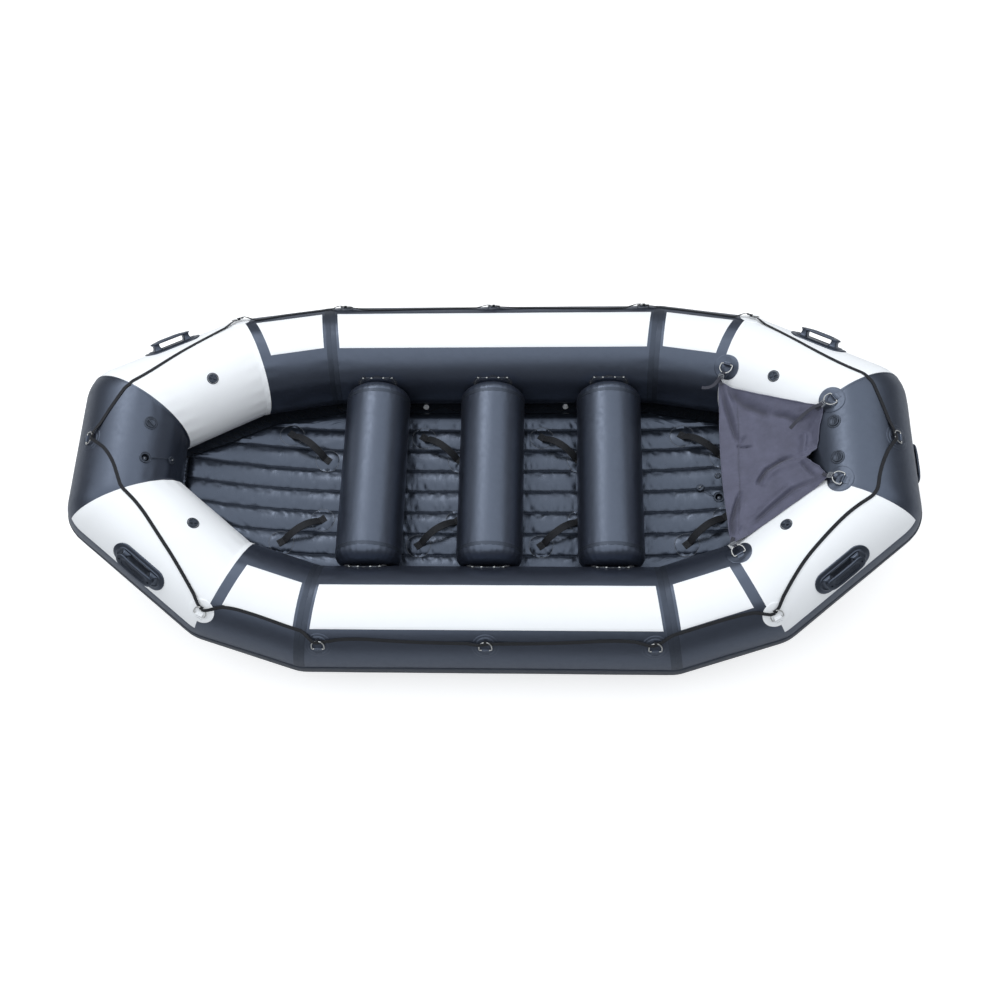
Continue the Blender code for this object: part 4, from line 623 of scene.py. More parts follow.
def tube_patch(tube, angles, ends, height, steps, bm):
    """A thin sheet glued on a tube, with a soft edge all round."""
    tops, lows = [], []
    for angle in angles:
        first, last = sorted(tube.mitre_at(which, angle, 0, inset) for which, inset in ends)
        alongs = spread(first, last, steps, 0.0008)
        rim = angle in (angles[0], angles[-1])
        tops.append([
            tube.skin(a, angle, height * (0.55 if rim or k in (0, len(alongs) - 1) else 1.0))
            for k, a in enumerate(alongs)
        ])
        lows.append([tube.skin(a, angle, -0.0006) for a in alongs])
    slab(tops, lows, bm)


def glued_sheets(table):
    for key, tube in TUBES.items():
        for name, material, patches in table.get(key[0], ()):
            bm = bmesh.new()
            for angles, ends, height, steps in patches:
                tube_patch(tube, spread(*angles), ends, height, steps, bm)
            piece(name + tube.name, bm, material, angle=25)


def strake():
    """The rubber rub strip round the hull: a rounded band with fine ribs along it."""
    top, bottom = 8.0, -14.0
    ribs = 6
    steps = ribs * 4
    profile = []
    for n in range(steps + 1):
        share = n / steps
        edge = min(1.0, min(share, 1 - share) * 7)
        rib = 0.0009 * (0.5 - 0.5 * cos(2 * pi * ribs * share))
        profile.append((bottom + (top - bottom) * share, 0.0012 + 0.0036 * sqrt(edge) + rib))
    profile += [(top, 0.0002), ((top + bottom) / 2, 0.0002), (bottom, 0.0002)]
    # at each mitre the strip turns to an angle between its own on the two tubes
    targets = {}
    forward = {}
    for key, after_key in zip(ORDER, ORDER[1:] + ORDER[:1]):
        tube, after = TUBES[key], TUBES[after_key]
        mine, theirs = shared_end(tube, after)
        forward[key] = mine == 1
        here, there = [], []
        for angle, _ in profile:
            over = mirrored_angle(after, tube, after.mitre_at(theirs, angle), angle)
            between = (angle + over) / 2
            here.append(between)
            there.append(mirrored_angle(tube, after, tube.mitre_at(mine, between), between))
        targets[key, mine] = here
        targets[after_key, theirs] = there
    shares = [0.01, 0.03, 0.06, 0.10, 0.16, 0.25, 0.35, 0.42, 0.5]
    shares += [1 - s for s in reversed([0.0] + shares[:-1])]
    rings = []
    for key in ORDER:
        tube = TUBES[key]
        for share in shares:
            t = share if forward[key] else 1 - share
            ring = []
            for k, (angle, height) in enumerate(profile):
                if t < 0.5:
                    turned_by = targets[key, 0][k] + (angle - targets[key, 0][k]) * (t / 0.5)
                else:
                    turned_by = angle + (targets[key, 1][k] - angle) * ((t - 0.5) / 0.5)
                low, high = tube.ends(turned_by, height)
                ring.append(tube.skin(low + (high - low) * t, turned_by, height))
            rings.append(ring)
    piece("rub_strake_rubber", loft(rings, wrap=True), STRAKE, replaces=["rub_strake"])


# The D-rings on their pads

class Seat:
    """Where a D-ring hangs on a tube or over its joint with a neighbour: its pad's centre, the way of its bar and the
    way to its tip."""

    def __init__(self, node, owner, along, angle, neighbour=None, turn=1):
        self.node = node
        self.owner = owner
        self.neighbour = neighbour
        self.centre = owner.point(along, angle)
        normal = owner.normal(angle)
        bar_way = owner.along
        tubes = [owner]
        if neighbour:
            tubes.append(neighbour)
            normal = sum((tube.off_axis(self.centre).normalized() for tube in tubes), Vector()).normalized()
            bar_way = owner.along * turn + neighbour.along
        inboard = owner.round_way(angle)
        self.normal = normal
        self.bar_way = (bar_way - normal * bar_way.dot(normal)).normalized()
        self.tip_way = inboard - self.bar_way * inboard.dot(self.bar_way)
        self.tip_way = (self.tip_way - normal * self.tip_way.dot(normal)).normalized()
        # over a joint the bar is lifted until it clears both tubes
        clear = TUBE_RADIUS + 0.0020 + WIRE_RADIUS + 0.0012
        bar = self.centre - self.tip_way * BAR_OFFSET
        lift = 0.0
        for tube in tubes:
            for reach in (-RING_HALF_WIDTH, 0.0, RING_HALF_WIDTH):
                lift = max(lift, clear - tube.off_axis(bar + self.bar_way * reach).length)
        self.bar = bar + normal * lift

    def tilted(self, tilt):
        """The way to the tip of a ring that stands off by a tilt, and the way out of the ring's face."""
        turn = radians(tilt)
        way = self.tip_way * cos(turn) + self.normal * sin(turn)
        return way, self.normal * cos(turn) - self.tip_way * sin(turn)

    def drape(self, x, y, height):
        """The hull's surface under a place on the pad's plane, raised by height."""
        place = self.centre + self.bar_way * x + self.tip_way * y
        tube = self.owner
        if self.neighbour:
            corner, mitre, _, _ = tube.mitres[shared_end(tube, self.neighbour)[0]]
            if (place - corner).dot(mitre) > 0:
                tube = self.neighbour
        along, angle = tube.locate(place)
        return tube.skin(along, angle, height)


def make_seats():
    outer, bag = [], []
    for side in (PORT, STARBOARD):
        tube = TUBES["side", 0, side]
        for label, along in (
            ("stern", SIDE_RING_FROM_SEAM), ("mid", tube.length / 2), ("bow", tube.length - SIDE_RING_FROM_SEAM)
        ):
            outer.append(Seat(f"d_ring_{label}_side_{SIDE_NAME[side]}", tube, along, SIDE_RING_ANGLE))
        for fore in (BOW, STERN):
            corner = TUBES["corner", fore, side]
            outer.append(Seat(
                f"d_ring_corner_{corner_name(fore, side)}", corner, corner.mitre_at(0, CORNER_RING_ANGLE),
                CORNER_RING_ANGLE, TUBES["quarter", fore, side],
            ))
    for fore in (BOW, STERN):
        tube = TUBES["end", fore, 0]
        outer.append(Seat(f"d_ring_end_{FORE_NAME[fore]}", tube, tube.length / 2, END_RING_ANGLE))
    for side in (PORT, STARBOARD):
        quarter, corner, end = TUBES["quarter", BOW, side], TUBES["corner", BOW, side], TUBES["end", BOW, 0]
        along = quarter.mitre_at(1, BAG_AFT_ANGLE)
        bag.append(Seat(f"bag_ring_aft_{SIDE_NAME[side]}", quarter, along, BAG_AFT_ANGLE, corner))
        along = end.mitre_at(1 if side == PORT else 0, BAG_FORE_ANGLE) - side * BAG_FORE_SHIFT
        bag.append(Seat(f"bag_ring_fore_{SIDE_NAME[side]}", end, along, BAG_FORE_ANGLE, corner, -side))
    return outer, bag


def ring_wire(seat, tilt):
    """The welded D as a smooth wire, its corners bent to a radius."""
    reach, bend = RING_HALF_WIDTH, RING_CORNER_RADIUS
    flat = [(-reach + bend + (2 * reach - 2 * bend) * n / 6, 0.0) for n in range(7)]
    for n in range(1, 5):
        turn = radians(-90 + 90 * n / 4)
        flat.append((reach - bend + bend * cos(turn), bend + bend * sin(turn)))
    flat.append((reach, (bend + RING_LEG) / 2))
    flat += [(reach * cos(pi * n / 24), RING_LEG + reach * sin(pi * n / 24)) for n in range(25)]
    flat.append((-reach, (bend + RING_LEG) / 2))
    for n in range(4):
        turn = radians(180 + 90 * n / 4)
        flat.append((-reach + bend + bend * cos(turn), bend + bend * sin(turn)))
    way, face = seat.tilted(tilt)
    points = [seat.bar + seat.bar_way * x + way * y for x, y in flat]
    piece(
        "wire_" + seat.node, swept(points, WIRE_RADIUS, 12, True, face), STEEL, BODY_OF[seat.node], [seat.node]
    )


def ring_pad(seat, material):
    """The stepped round patch under a ring and the doubled tab that holds the ring's bar."""
    sides = 112 if seat.neighbour else 64
    # over a joint the patch stands a little clear of the bend
    lift, rim = (0.0010, 0.0018) if seat.neighbour else (0.0, 0.0)
    steps = [(0.005 * n + 0.0005, 0.0020 + lift) for n in range(1, 9)]
    steps += [(0.0455, 0.0019 + lift), (0.0470, 0.0012 + rim)]
    steps += [(radius, 0.0011 + rim) for radius in (0.0500, 0.0530, 0.0570)]
    steps += [(PAD_RADIUS - 0.0012, 0.0010 + rim), (PAD_RADIUS, 0.0004 + rim), (PAD_RADIUS, -0.0008)]
    piece("pad_" + seat.node, loft([circle_on(seat.drape, *step, sides) for step in steps]), material, angle=28)
    # the tab: flat on the pad, up over the bar and down again
    over = WIRE_RADIUS + 0.0020
    points = [seat.drape(0.0, y, z + lift) for y, z in ((-0.043, 0.0028), (-0.030, 0.0028), (-0.026, 0.0030))]
    for n in range(7):
        turn = radians(200 - 220 * n / 6)
        points.append(seat.bar + seat.tip_way * (over * cos(turn)) + seat.normal * (over * sin(turn)))
    points += [seat.drape(0.0, y, z + lift) for y, z in ((-0.004, 0.0030), (0.002, 0.0028), (0.010, 0.0028))]
    piece("tab_" + seat.node, strip(points, [seat.normal] * len(points), 0.034, 0.0016), material)
    bm = bmesh.new()
    for y in (-0.038, -0.0275, 0.004):
        for n in range(9):
            x = -0.0138 + 0.0276 * n / 8
            swept([seat.drape(x + end, y, 0.0038 + lift) for end in (-0.0011, 0.0011)], 0.0004, 5, bm=bm)
    piece("stitch_" + seat.node, bm, STITCH)


# The floor

def tube_height(x):
    """The rise of the hull's axis at a distance forward or aft of the middle."""
    (x0, _, _), (x1, _, z1), (x2, _, z2) = RING_CORNERS
    if x <= x0:
        return 0.0
    if x <= x1:
        return z1 * (x - x0) / (x1 - x0)
    return z1 + (z2 - z1) / (x2 - x1) * (x - x1)


def rocker(x):
    """The floor's rise, eased at the stations where it bends."""
    total = 0.0
    runs = (0.0,) + FLOOR_STATIONS
    for shift in (-0.045, -0.015, 0.015, 0.045):
        place = abs(x) + shift
        for here, there in zip(runs, runs[1:]):
            if place <= there or there == runs[-1]:
                share = max(0.0, place - here) / (there - here)
                total += tube_height(here) + (tube_height(there) - tube_height(here)) * share
                break
    return total / 4


def swell(y):
    """How far a chamber's skin stands above its webs: a round arc between two narrow seams."""
    share = (y / CHAMBER_PITCH) % 1.0
    return (FLOOR_CREST - FLOOR_WEB) * max(0.0, 1 - (2 * share - 1) ** 2) ** 0.62


def plan_points():
    """The floor's outline in one quarter, from the bow's end round to the side."""
    lifted = FLOOR_INSET - TUBE_RADIUS
    at_side, at_quarter = (
        tube.point(tube.mitre_at(0, 180.0, lifted), 180.0, lifted)
        for tube in (TUBES["quarter", BOW, PORT], TUBES["corner", BOW, PORT])
    )
    return [(1.540, 0.0), (1.540, 0.120), (at_quarter.x, at_quarter.y), (at_side.x, at_side.y), (0.0, at_side.y)]


PLAN = plan_points()


def floor_reach(y):
    """How far forward the floor runs at a distance from the centre line."""
    y = abs(y)
    for (x0, y0), (x1, y1) in zip(PLAN, PLAN[1:-1]):
        if y <= y1:
            return x0 + (x1 - x0) * (y - y0) / (y1 - y0)
    return PLAN[-2][0]


def nearest_on(x, y, line):
    """Distance from a line in plan, and how far along it the nearest place is, as a share."""
    spot = Vector((x, y))
    best, where = 9.0, 0.0
    for n, (here, there) in enumerate(zip(line, line[1:])):
        here, there = Vector(here), Vector(there)
        run = there - here
        share = min(1.0, max(0.0, (spot - here).dot(run) / run.length_squared))
        away = (spot - here - run * share).length
        if away < best:
            best, where = away, (n + share) / (len(line) - 1)
    return best, where


def floor_point(x, y, sign=1, height=0.0):
    """A point of the floor's upper or lower skin, with the short creases that run out from its webs."""
    edge = min(1.0, nearest_on(abs(x), abs(y), PLAN)[0] / 0.055)
    bulge = sqrt(max(0.0, 1 - (1 - edge) ** 2))
    arc = swell(y)
    share = (y / CHAMBER_PITCH) % 1.0
    chamber = floor(y / CHAMBER_PITCH)
    crease = noise.noise(Vector((x * 36.0 + y * 14.0, y * 7.0, chamber * 3.7)))
    crease += 0.45 * noise.noise(Vector((x * 72.0, y * 9.0, chamber * 5.1)))
    crease *= exp(-((min(share, 1 - share) - 0.20) / 0.10) ** 2) * 0.0046 + 0.0006
    local = FLOOR_WEB * 0.35 + (FLOOR_WEB * 0.65 + arc) * bulge
    if sign > 0:
        wave = 0.0012 * noise.noise(Vector((x * 7.0, y * 11.0, chamber * 1.3)))
        local += crease * (0.35 + 0.65 * min(1.0, arc / 0.008)) + wave
        # puckers where the chambers are closed off
        local += (1 - edge) * edge * 0.010 * sin(y * 260.0 + 2.0 * noise.noise(Vector((y * 40, x, 0))))
    else:
        local += 0.35 * crease
    return Vector((x, y, FLOOR_MIDDLE + rocker(x) + sign * local + height))


def floor_smooth(x, y):
    """The floor's upper skin without its creases."""
    return Vector((x, y, FLOOR_MIDDLE + FLOOR_WEB + swell(y) + rocker(x)))


def floor_frame(x, y):
    forward = (floor_smooth(x + 0.02, y) - floor_smooth(x - 0.02, y)).normalized()
    return placed(forward, ACROSS, floor_smooth(x, y))


def floor_body():
    count = 380
    shares = (0.0, 0.022, 0.06, 0.11, 0.17, 0.24, 0.32, 0.41, 0.5, 0.59, 0.68, 0.76, 0.83, 0.89, 0.94, 0.978)
    ys = [(chamber + share - CHAMBERS / 2) * CHAMBER_PITCH for chamber in range(CHAMBERS) for share in shares]
    tops, lows = [], []
    for y in ys + [CHAMBERS / 2 * CHAMBER_PITCH]:
        y = max(-FLOOR_EDGE, min(FLOOR_EDGE, y))
        reach = floor_reach(y)
        xs = [reach * copysign(abs(s) ** 0.97, s) for s in (-1 + 2 * n / count for n in range(count + 1))]
        tops.append([floor_point(x, y) for x in xs])
        lows.append([floor_point(x, y, -1) for x in xs])
    item = piece("floor_chambers", slab(tops, lows), FLOOR, replaces=["floor"], angle=50)
    bore(item, floor_frame(*FLOOR_VALVE), 0.03)


def web_lines():
    """The welded seams along the floor's webs, a thin ridge in each groove."""
    bm = bmesh.new()
    for n in range(1, CHAMBERS):
        y = (n - CHAMBERS / 2) * CHAMBER_PITCH
        reach = floor_reach(y) - 0.03
        swept([floor_point(-reach + 2 * reach * k / 90, y, 1, 0.0006) for k in range(91)], 0.0016, 6, bm=bm)
    piece("floor_web_seams", bm, TAPE)


def floor_flange():
    """The laced sheet between the floor and the tubes, its lacing and its drain eyelets."""
    contact = 180.0 + degrees(asin((AXIS_HEIGHT - FLANGE_HEIGHT) / TUBE_RADIUS))
    inner, outer = [], []
    for key, after_key in zip(ORDER, ORDER[1:] + ORDER[:1]):
        tube = TUBES[key]
        forward = shared_end(tube, TUBES[after_key])[0] == 1
        low, high = tube.ends(contact)
        inside = tube.normal(180.0)
        inside = Vector((inside.x, inside.y, 0.0)).normalized()
        for share in (n / 24 for n in range(24)):
            along = low + (high - low) * (share if forward else 1 - share)
            base = tube.start + tube.along * along
            near = base + inside * FLANGE_INSET
            near.z = FLANGE_HEIGHT + rocker(near.x)
            # where the floor runs below the tube's round, the sheet rises to the tube
            drop = max(-0.85, (near.z - base.z) / (TUBE_RADIUS * tube.up.z))
            outer.append(tube.skin(along, 180.0 - degrees(asin(drop)), 0.0006))
            inner.append(near)
    rings = []
    for near, far in zip(inner, outer):
        path = [near, near.lerp(far, 0.5) - UP * 0.003, far]
        rings.append([p + UP * 0.0015 for p in path] + [p - UP * 0.0015 for p in reversed(path)])
    piece("floor_flange", loft(rings, wrap=True), FLOOR)
    # the lacing zigzags along the flange
    path = [near.lerp(far, 0.50 + 0.16 * (-1) ** n) + UP * 0.0040 for n, (near, far) in enumerate(zip(inner, outer))]
    piece("floor_lacing", swept(path, 0.0016, 6, True, UP), WEBBING)
    bm = bmesh.new()
    rim = ((0.0090, -0.002), (0.0090, 0.0015), (0.0105, 0.0026), (0.0140, 0.0020), (0.0150, -0.001))
    for side in (PORT, STARBOARD):
        for x in (-0.74, -0.37, 0.0, 0.37, 0.74):
            turned(rim, Matrix.Translation((x, side * (SIDE_HALF_BEAM - 0.205), 0.0630)), 24, bm)
    piece("drain_eyelets", bm, WHITE)


# Thwarts

def thwart(node, x):
    """An inflated cross tube with flat ends and rounded rims, its seam tapes and its feet."""
    half = SIDE_HALF_BEAM - sqrt(TUBE_RADIUS ** 2 - THWART_RISE ** 2) - 0.0006
    sides = 112
    corner, crown = 0.048, 0.004
    face = THWART_RADIUS - corner
    end = []
    for n in range(8):
        radius = 0.006 + (face - 0.006) * n / 7
        end.append((half - crown * (radius / face) ** 2, radius))
    for n in range(1, 18):
        turn = radians(90 * n / 17)
        end.append((half - crown - corner * (1 - cos(turn)), face + corner * sin(turn)))
    inner = end[-1][0]
    body = [(inner * (1 - 2 * n / 26), THWART_RADIUS) for n in range(1, 26)]
    rings = []
    for y, radius in end + body + [(-y, r) for y, r in reversed(end)]:
        ring = []
        past = max(0.0, abs(y) - inner + 0.045) / 0.13
        # the middle of the end is pressed against the side tube's round
        press = smooth(min(1.0, max(0.0, (0.145 - radius) / 0.055)))
        for a in turns(sides):
            pucker = 0.0
            if past > 0:
                wave = sin(a * 30 + 2.5 * noise.noise(Vector((cos(a) * 3, sin(a) * 3, y))))
                pucker = 0.0008 * sin(pi * min(1.0, past)) * wave
            spot = Vector((cos(a), y * 5.0, sin(a)))
            uneven = 0.0007 * noise.noise(spot * 2.2) + 0.0004 * noise.noise(spot * 9)
            r = radius + (pucker + uneven) * min(1.0, radius / 0.06)
            spot = Vector((x + r * cos(a), y, THWART_AXIS + r * sin(a)))
            off = spot.z - AXIS_HEIGHT
            gap = SIDE_HALF_BEAM - sqrt(max(0.0, TUBE_RADIUS ** 2 - off * off)) - 0.0008 - half
            spot.y += copysign(max(0.0, min(0.012, gap)) * press, y)
            ring.append(spot)
        rings.append(ring)
    piece("chamber_" + node, loft(rings), BLACK, replaces=[node], angle=50)
    bm = bmesh.new()
    for sign in (1, -1):
        rings = []
        for across, lift in ((-0.010, -0.0006), (-0.009, 0.0006), (0.0, 0.0007), (0.009, 0.0006), (0.010, -0.0006)):
            radius = THWART_RADIUS + lift
            y = sign * (inner - 0.012 + across)
            rings.append([Vector((x + radius * cos(a), y, THWART_AXIS + radius * sin(a))) for a in turns(sides)])
        loft(rings, bm, caps=False)
    piece("seam_tape_" + node, bm, TAPE)
    thwart_feet(node, x)


def thwart_feet(node, x):
    """The oval foot that laces each end of a thwart to the hull."""
    feet, edges, knots, laces = (bmesh.new() for _ in range(4))
    plate = rounded_rectangle(0.087, 0.090, 0.034)
    for side in (PORT, STARBOARD):
        tube = TUBES["side", 0, side]

        def on_tube(a, b, height):
            """A place on the side tube, from the thwart's axis by a along the tube and b up."""
            angle = 180.0 - degrees(asin(max(-1.0, min(1.0, (THWART_AXIS + b - AXIS_HEIGHT) / TUBE_RADIUS))))
            return tube.skin(x + a - tube.start.x, angle, height)

        loft([
            [on_tube(a * (1 + grow / 0.08), b * (1 + grow / 0.08), height) for a, b in plate]
            for grow, height in ((0.0, -0.0008), (0.0, 0.0022), (-0.003, 0.0030), (-0.020, 0.0030))
        ], feet)
        # the bound edge of the foot, its knots beside the thwart, and the lacing over it
        swept([on_tube(a * 1.06, b * 1.05, 0.0036) for a, b in plate], 0.0010, 6, True, bm=edges)
        for a in (-0.073, -0.030, 0.030, 0.073):
            place = Matrix.Translation(on_tube(a, 0.094, 0.0048)) @ Matrix.Diagonal((1.5, 1, 0.8, 1))
            bmesh.ops.create_icosphere(knots, subdivisions=2, radius=0.0034, matrix=place)
        path = []
        for (a, b), (c, d) in zip(plate, plate[1:] + plate[:1]):
            path.append(on_tube(a * 0.92, b * 0.92, 0.0052))
            path.append(on_tube((a + c) / 2 * 1.16, (b + d) / 2 * 1.16, 0.0052))
        swept(path, 0.0013, 6, True, bm=laces)
    piece("foot_" + node, feet, BLACK)
    piece("foot_edge_" + node, edges, LIGHT_THREAD)
    piece("foot_knots_" + node, knots, LACE)
    piece("foot_lacing_" + node, laces, STITCH)


# Foot straps

def foot_strap(node, x, side):
    """A loop of wide webbing over a groove of the floor, with a round patch and a stitched box at each end."""
    ends = []
    for sign, crest in ((-1, 2.5), (1, 1.5)):
        place = floor_frame(x + sign * STRAP_HALF_SPAN, side * crest * CHAMBER_PITCH)
        up = place.to_3x3() @ UP
        ends.append((place.translation + up * 0.0021, up, sign))
    (start, start_up, _), (end, end_up, _) = ends
    run = (end - start).normalized()
    flats = [(run - up * run.dot(up)).normalized() for _, up, _ in ends]
    points = [start - flats[0] * (0.034 * (1 - n / 5)) for n in range(5)]
    normals = [start_up] * 5
    for share in (n / 28 for n in range(29)):
        lean = sin(pi * share)
        up = start_up.lerp(end_up, share)
        points.append(start.lerp(end, share) + up * (0.062 * lean ** 0.75))
        normals.append((up * max(0.06, lean) - run * cos(pi * share)).normalized())
    points += [end + flats[1] * (0.034 * (n + 1) / 5) for n in range(5)]
    normals += [end_up] * 5
    webbing = strip(eased(points, 1), eased(normals, 1), STRAP_WIDTH, 0.0028)
    piece("webbing_" + node, webbing, WEBBING, replaces=[node])
    patches, rims, thread = (bmesh.new() for _ in range(3))
    corners = ((-0.014, 0.004), (0.014, 0.004), (0.014, 0.030), (-0.014, 0.030))
    for (place, up, sign), flat in zip(ends, flats):
        centre = place + run * (sign * 0.016)

        def on_floor(x, y, height):
            return floor_point(centre.x + x, centre.y + y, 1, height)

        loft([circle_on(on_floor, radius, height, 48) for radius, height in (
            (0.004, 0.0012), (0.030, 0.0012), (0.046, 0.0012), (0.0475, 0.0008), (0.0590, 0.0008),
            (0.0600, 0.0002), (0.0600, -0.0010),
        )], patches)
        swept(circle_on(on_floor, 0.0602, 0.0006, 64), 0.0009, 5, True, bm=rims)
        over = up.cross(flat)
        for one, other in ((0, 1), (1, 2), (2, 3), (3, 0), (0, 2), (1, 3)):
            (a, b), (c, d) = corners[one], corners[other]
            for k in range(7):
                swept([
                    place + over * (a + (c - a) * t) + flat * (sign * (b + (d - b) * t)) + up * 0.0016
                    for t in ((k + 0.15) / 7, (k + 0.85) / 7)
                ], 0.0005, 5, bm=thread)
    piece("patch_" + node, patches, FLOOR, angle=30)
    piece("patch_edge_" + node, rims, LIGHT_THREAD)
    piece("stitch_" + node, thread, STITCH)


# Grab line

# The line's way over the hull. On an end tube: its distance from the middle and angle, then its angle at the mitre.
LINE_ON_END = {
    (BOW, PORT): (0.110, 71.0, 84.0),
    (BOW, STARBOARD): (0.150, 84.0, 91.0),
    (STERN, PORT): (0.100, 76.0, 96.0),
    (STERN, STARBOARD): (0.090, 90.0, 106.0),
}
# On a corner tube, its angles at these shares of the way from the quarter's mitre to the end's.
CORNER_SHARES = (0.80, 0.55, 0.30)
LINE_ON_CORNER = {
    (BOW, PORT): (75.5, 70.5, 63.0),
    (BOW, STARBOARD): (86.5, 83.0, 76.5),
    (STERN, PORT): (83.5, 74.0, 65.5),
    (STERN, STARBOARD): (95.5, 86.0, 75.5),
}
# On a quarter tube, at these shares of the way from the corner's mitre to the side's.
QUARTER_SHARES = (0.20, 0.50, 0.85)
LINE_ON_QUARTER = {
    (BOW, PORT): (53.0, 50.0, 50.0),
    (BOW, STARBOARD): (57.5, 59.0, 59.0),
    (STERN, PORT): (54.0, 49.0, 49.0),
    (STERN, STARBOARD): (61.0, 62.2, 61.0),
}
SIDE_SHARES = (0.20, 0.50, 0.80)
LINE_ON_SIDE = (52.0, 48.5, 46.8)
LAY = 0.0024
LINE_AT_RING = 0.008
LINE_FROM_BAR = 0.036
LINE_LEAVE = 0.075
# two distances from a ring's middle out along a half span of the line
LINE_BEND = (0.170, 0.026)


def line_weave(seat, toward):
    """The line's half way through a ring, from outside in to the middle: over one leg, under the other."""
    way, face = seat.tilted(RING_TILT)
    middle = seat.bar + way * LINE_FROM_BAR
    out = toward - middle
    across, up = out.dot(seat.bar_way), out.dot(way)
    scale = hypot(across, up)
    across, up = across / scale, max(-0.35, up / scale)
    # the distance to the ring's round from the line's middle
    base = LINE_FROM_BAR - RING_LEG
    reach = -base * up + sqrt(RING_HALF_WIDTH ** 2 - base ** 2 * (1 - up * up))
    run = seat.bar_way * across + way * up
    clear = WIRE_RADIUS + LINE_THICKNESS / 2 + 0.0009
    side = -1 if across > 0 else 1
    places = ((1.8, 0.75), (1.35, 0.95), (1.0, 1.0), (0.65, 0.8), (0.3, 0.4), (0.0, 0.0))
    return [(middle + run * (k * reach) + face * (side * z * clear), face) for k, z in places]


def surface_path(tube, places):
    """A smooth line over a tube's skin near (along, angle, height) places, from the first to the last."""
    line = eased([Vector(place) for place in places], 3)
    found = [line[0]]
    for here, there in zip(line, line[1:]):
        steps = max(1, ceil(hypot(there.x - here.x, radians(there.y - here.y) * TUBE_RADIUS) / 0.020))
        found += [here.lerp(there, (n + 1) / steps) for n in range(steps)]
    return [(tube.skin(*place), tube.normal(place.y)) for place in found]


def half_run(seats, fore, side):
    """The line's three free spans between the middle of an end tube and the middle of a side tube."""
    side_tube, quarter = TUBES["side", 0, side], TUBES["quarter", fore, side]
    corner, end = TUBES["corner", fore, side], TUBES["end", fore, 0]
    end_ring = seats[f"d_ring_end_{FORE_NAME[fore]}"]
    corner_ring = seats[f"d_ring_corner_{corner_name(fore, side)}"]
    side_ring = seats[f"d_ring_{FORE_NAME[fore]}_side_{SIDE_NAME[side]}"]
    middle_ring = seats[f"d_ring_mid_side_{SIDE_NAME[side]}"]

    def tip(tube, seat):
        return (*tube.locate(seat.bar + seat.tip_way * LINE_FROM_BAR), LINE_AT_RING)

    from_middle, angle, at_end = LINE_ON_END[fore, side]
    end_along = end.mitre_at(1 if side == PORT else 0, at_end)
    over = mirrored_angle(end, corner, end_along, at_end)
    first = surface_path(
        end, [tip(end, end_ring), (end.length / 2 + side * from_middle, angle, LAY), (end_along, at_end, LAY)]
    )
    places = [(corner.mitre_at(1, over), over, LAY)]
    for share, angle in zip(CORNER_SHARES, LINE_ON_CORNER[fore, side]):
        low, high = corner.ends(angle)
        places.append((low + (high - low) * share, angle, LAY))
    first += surface_path(corner, places + [tip(corner, corner_ring)])[1:]
    places = [tip(quarter, corner_ring)]
    for share, angle in zip(QUARTER_SHARES, LINE_ON_QUARTER[fore, side]):
        low, high = quarter.ends(angle)
        places.append((high + (low - high) * share, angle, LAY))
    seam = quarter.mitre_at(0, angle)
    second = surface_path(quarter, places + [(seam, angle, LAY)])
    over = mirrored_angle(quarter, side_tube, seam, angle)
    start, finish = tip(side_tube, side_ring), tip(side_tube, middle_ring)
    at_seam = (side_tube.mitre_at(0 if fore == STERN else 1, over), over, LAY)
    second += surface_path(side_tube, [at_seam, start])[1:]
    places = [
        (start[0] + (finish[0] - start[0]) * share, angle, LAY) for share, angle in zip(SIDE_SHARES, LINE_ON_SIDE)
    ]
    third = surface_path(side_tube, [start] + places + [finish])
    return (end_ring, first, corner_ring), (corner_ring, second, side_ring), (side_ring, third, middle_ring)


def grab_line():
    """One endless webbing line, woven through the twelve rings, in two pieces for each span."""
    seats = {seat.node: seat for seat in OUTER}
    replaces = ["grab_line"]
    for fore, side in CORNERS:
        for n, (one, span, other) in enumerate(half_run(seats, fore, side)):
            # the span's own places beside its rings give way to the weave
            first, last = span[0][0], span[-1][0]
            span = [(p, v) for p, v in span if (p - first).length > LINE_LEAVE and (p - last).length > LINE_LEAVE]
            route = line_weave(one, span[0][0])[::-1] + span + line_weave(other, span[-1][0])
            points = eased([p for p, _ in route], 1)
            normals = eased([v for _, v in route], 1)
            cut = len(points) // 2
            for half, seat, chosen in (("a", one, slice(0, cut + 1)), ("b", other, slice(cut, None))):
                item = piece(
                    f"grab_line_{corner_name(fore, side)}_{n + 1}_{half}",
                    strip(points[chosen], normals[chosen], LINE_WIDTH, LINE_THICKNESS), WEBBING, None, replaces, 60,
                )
                replaces = ()
                middle = seat.bar + seat.tilted(RING_TILT)[0] * LINE_FROM_BAR
                outward = (points[chosen][len(points[chosen]) // 2] - middle).normalized()
                still, moving = (middle + outward * reach for reach in LINE_BEND)
                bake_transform(item)
                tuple(still)
                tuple(moving)


def line_knots():
    """The small whipping round the line at each ring's tip."""
    for seat in OUTER:
        way, face = seat.tilted(RING_TILT)
        tip = seat.bar + way * (RING_LEG + RING_HALF_WIDTH)
        bm = bmesh.new()
        for shift in (-0.0052, -0.0018, 0.0018, 0.0052):
            centre = tip + seat.bar_way * shift - way * 0.0015
            loop = [centre + face * (0.0052 * cos(a)) + way * (0.0062 * sin(a)) for a in turns(20)]
            swept(loop, 0.0019, 7, True, bm=bm)
        piece("line_whipping_" + seat.node, bm, WEBBING, BODY_OF[seat.node])


# Carry handles

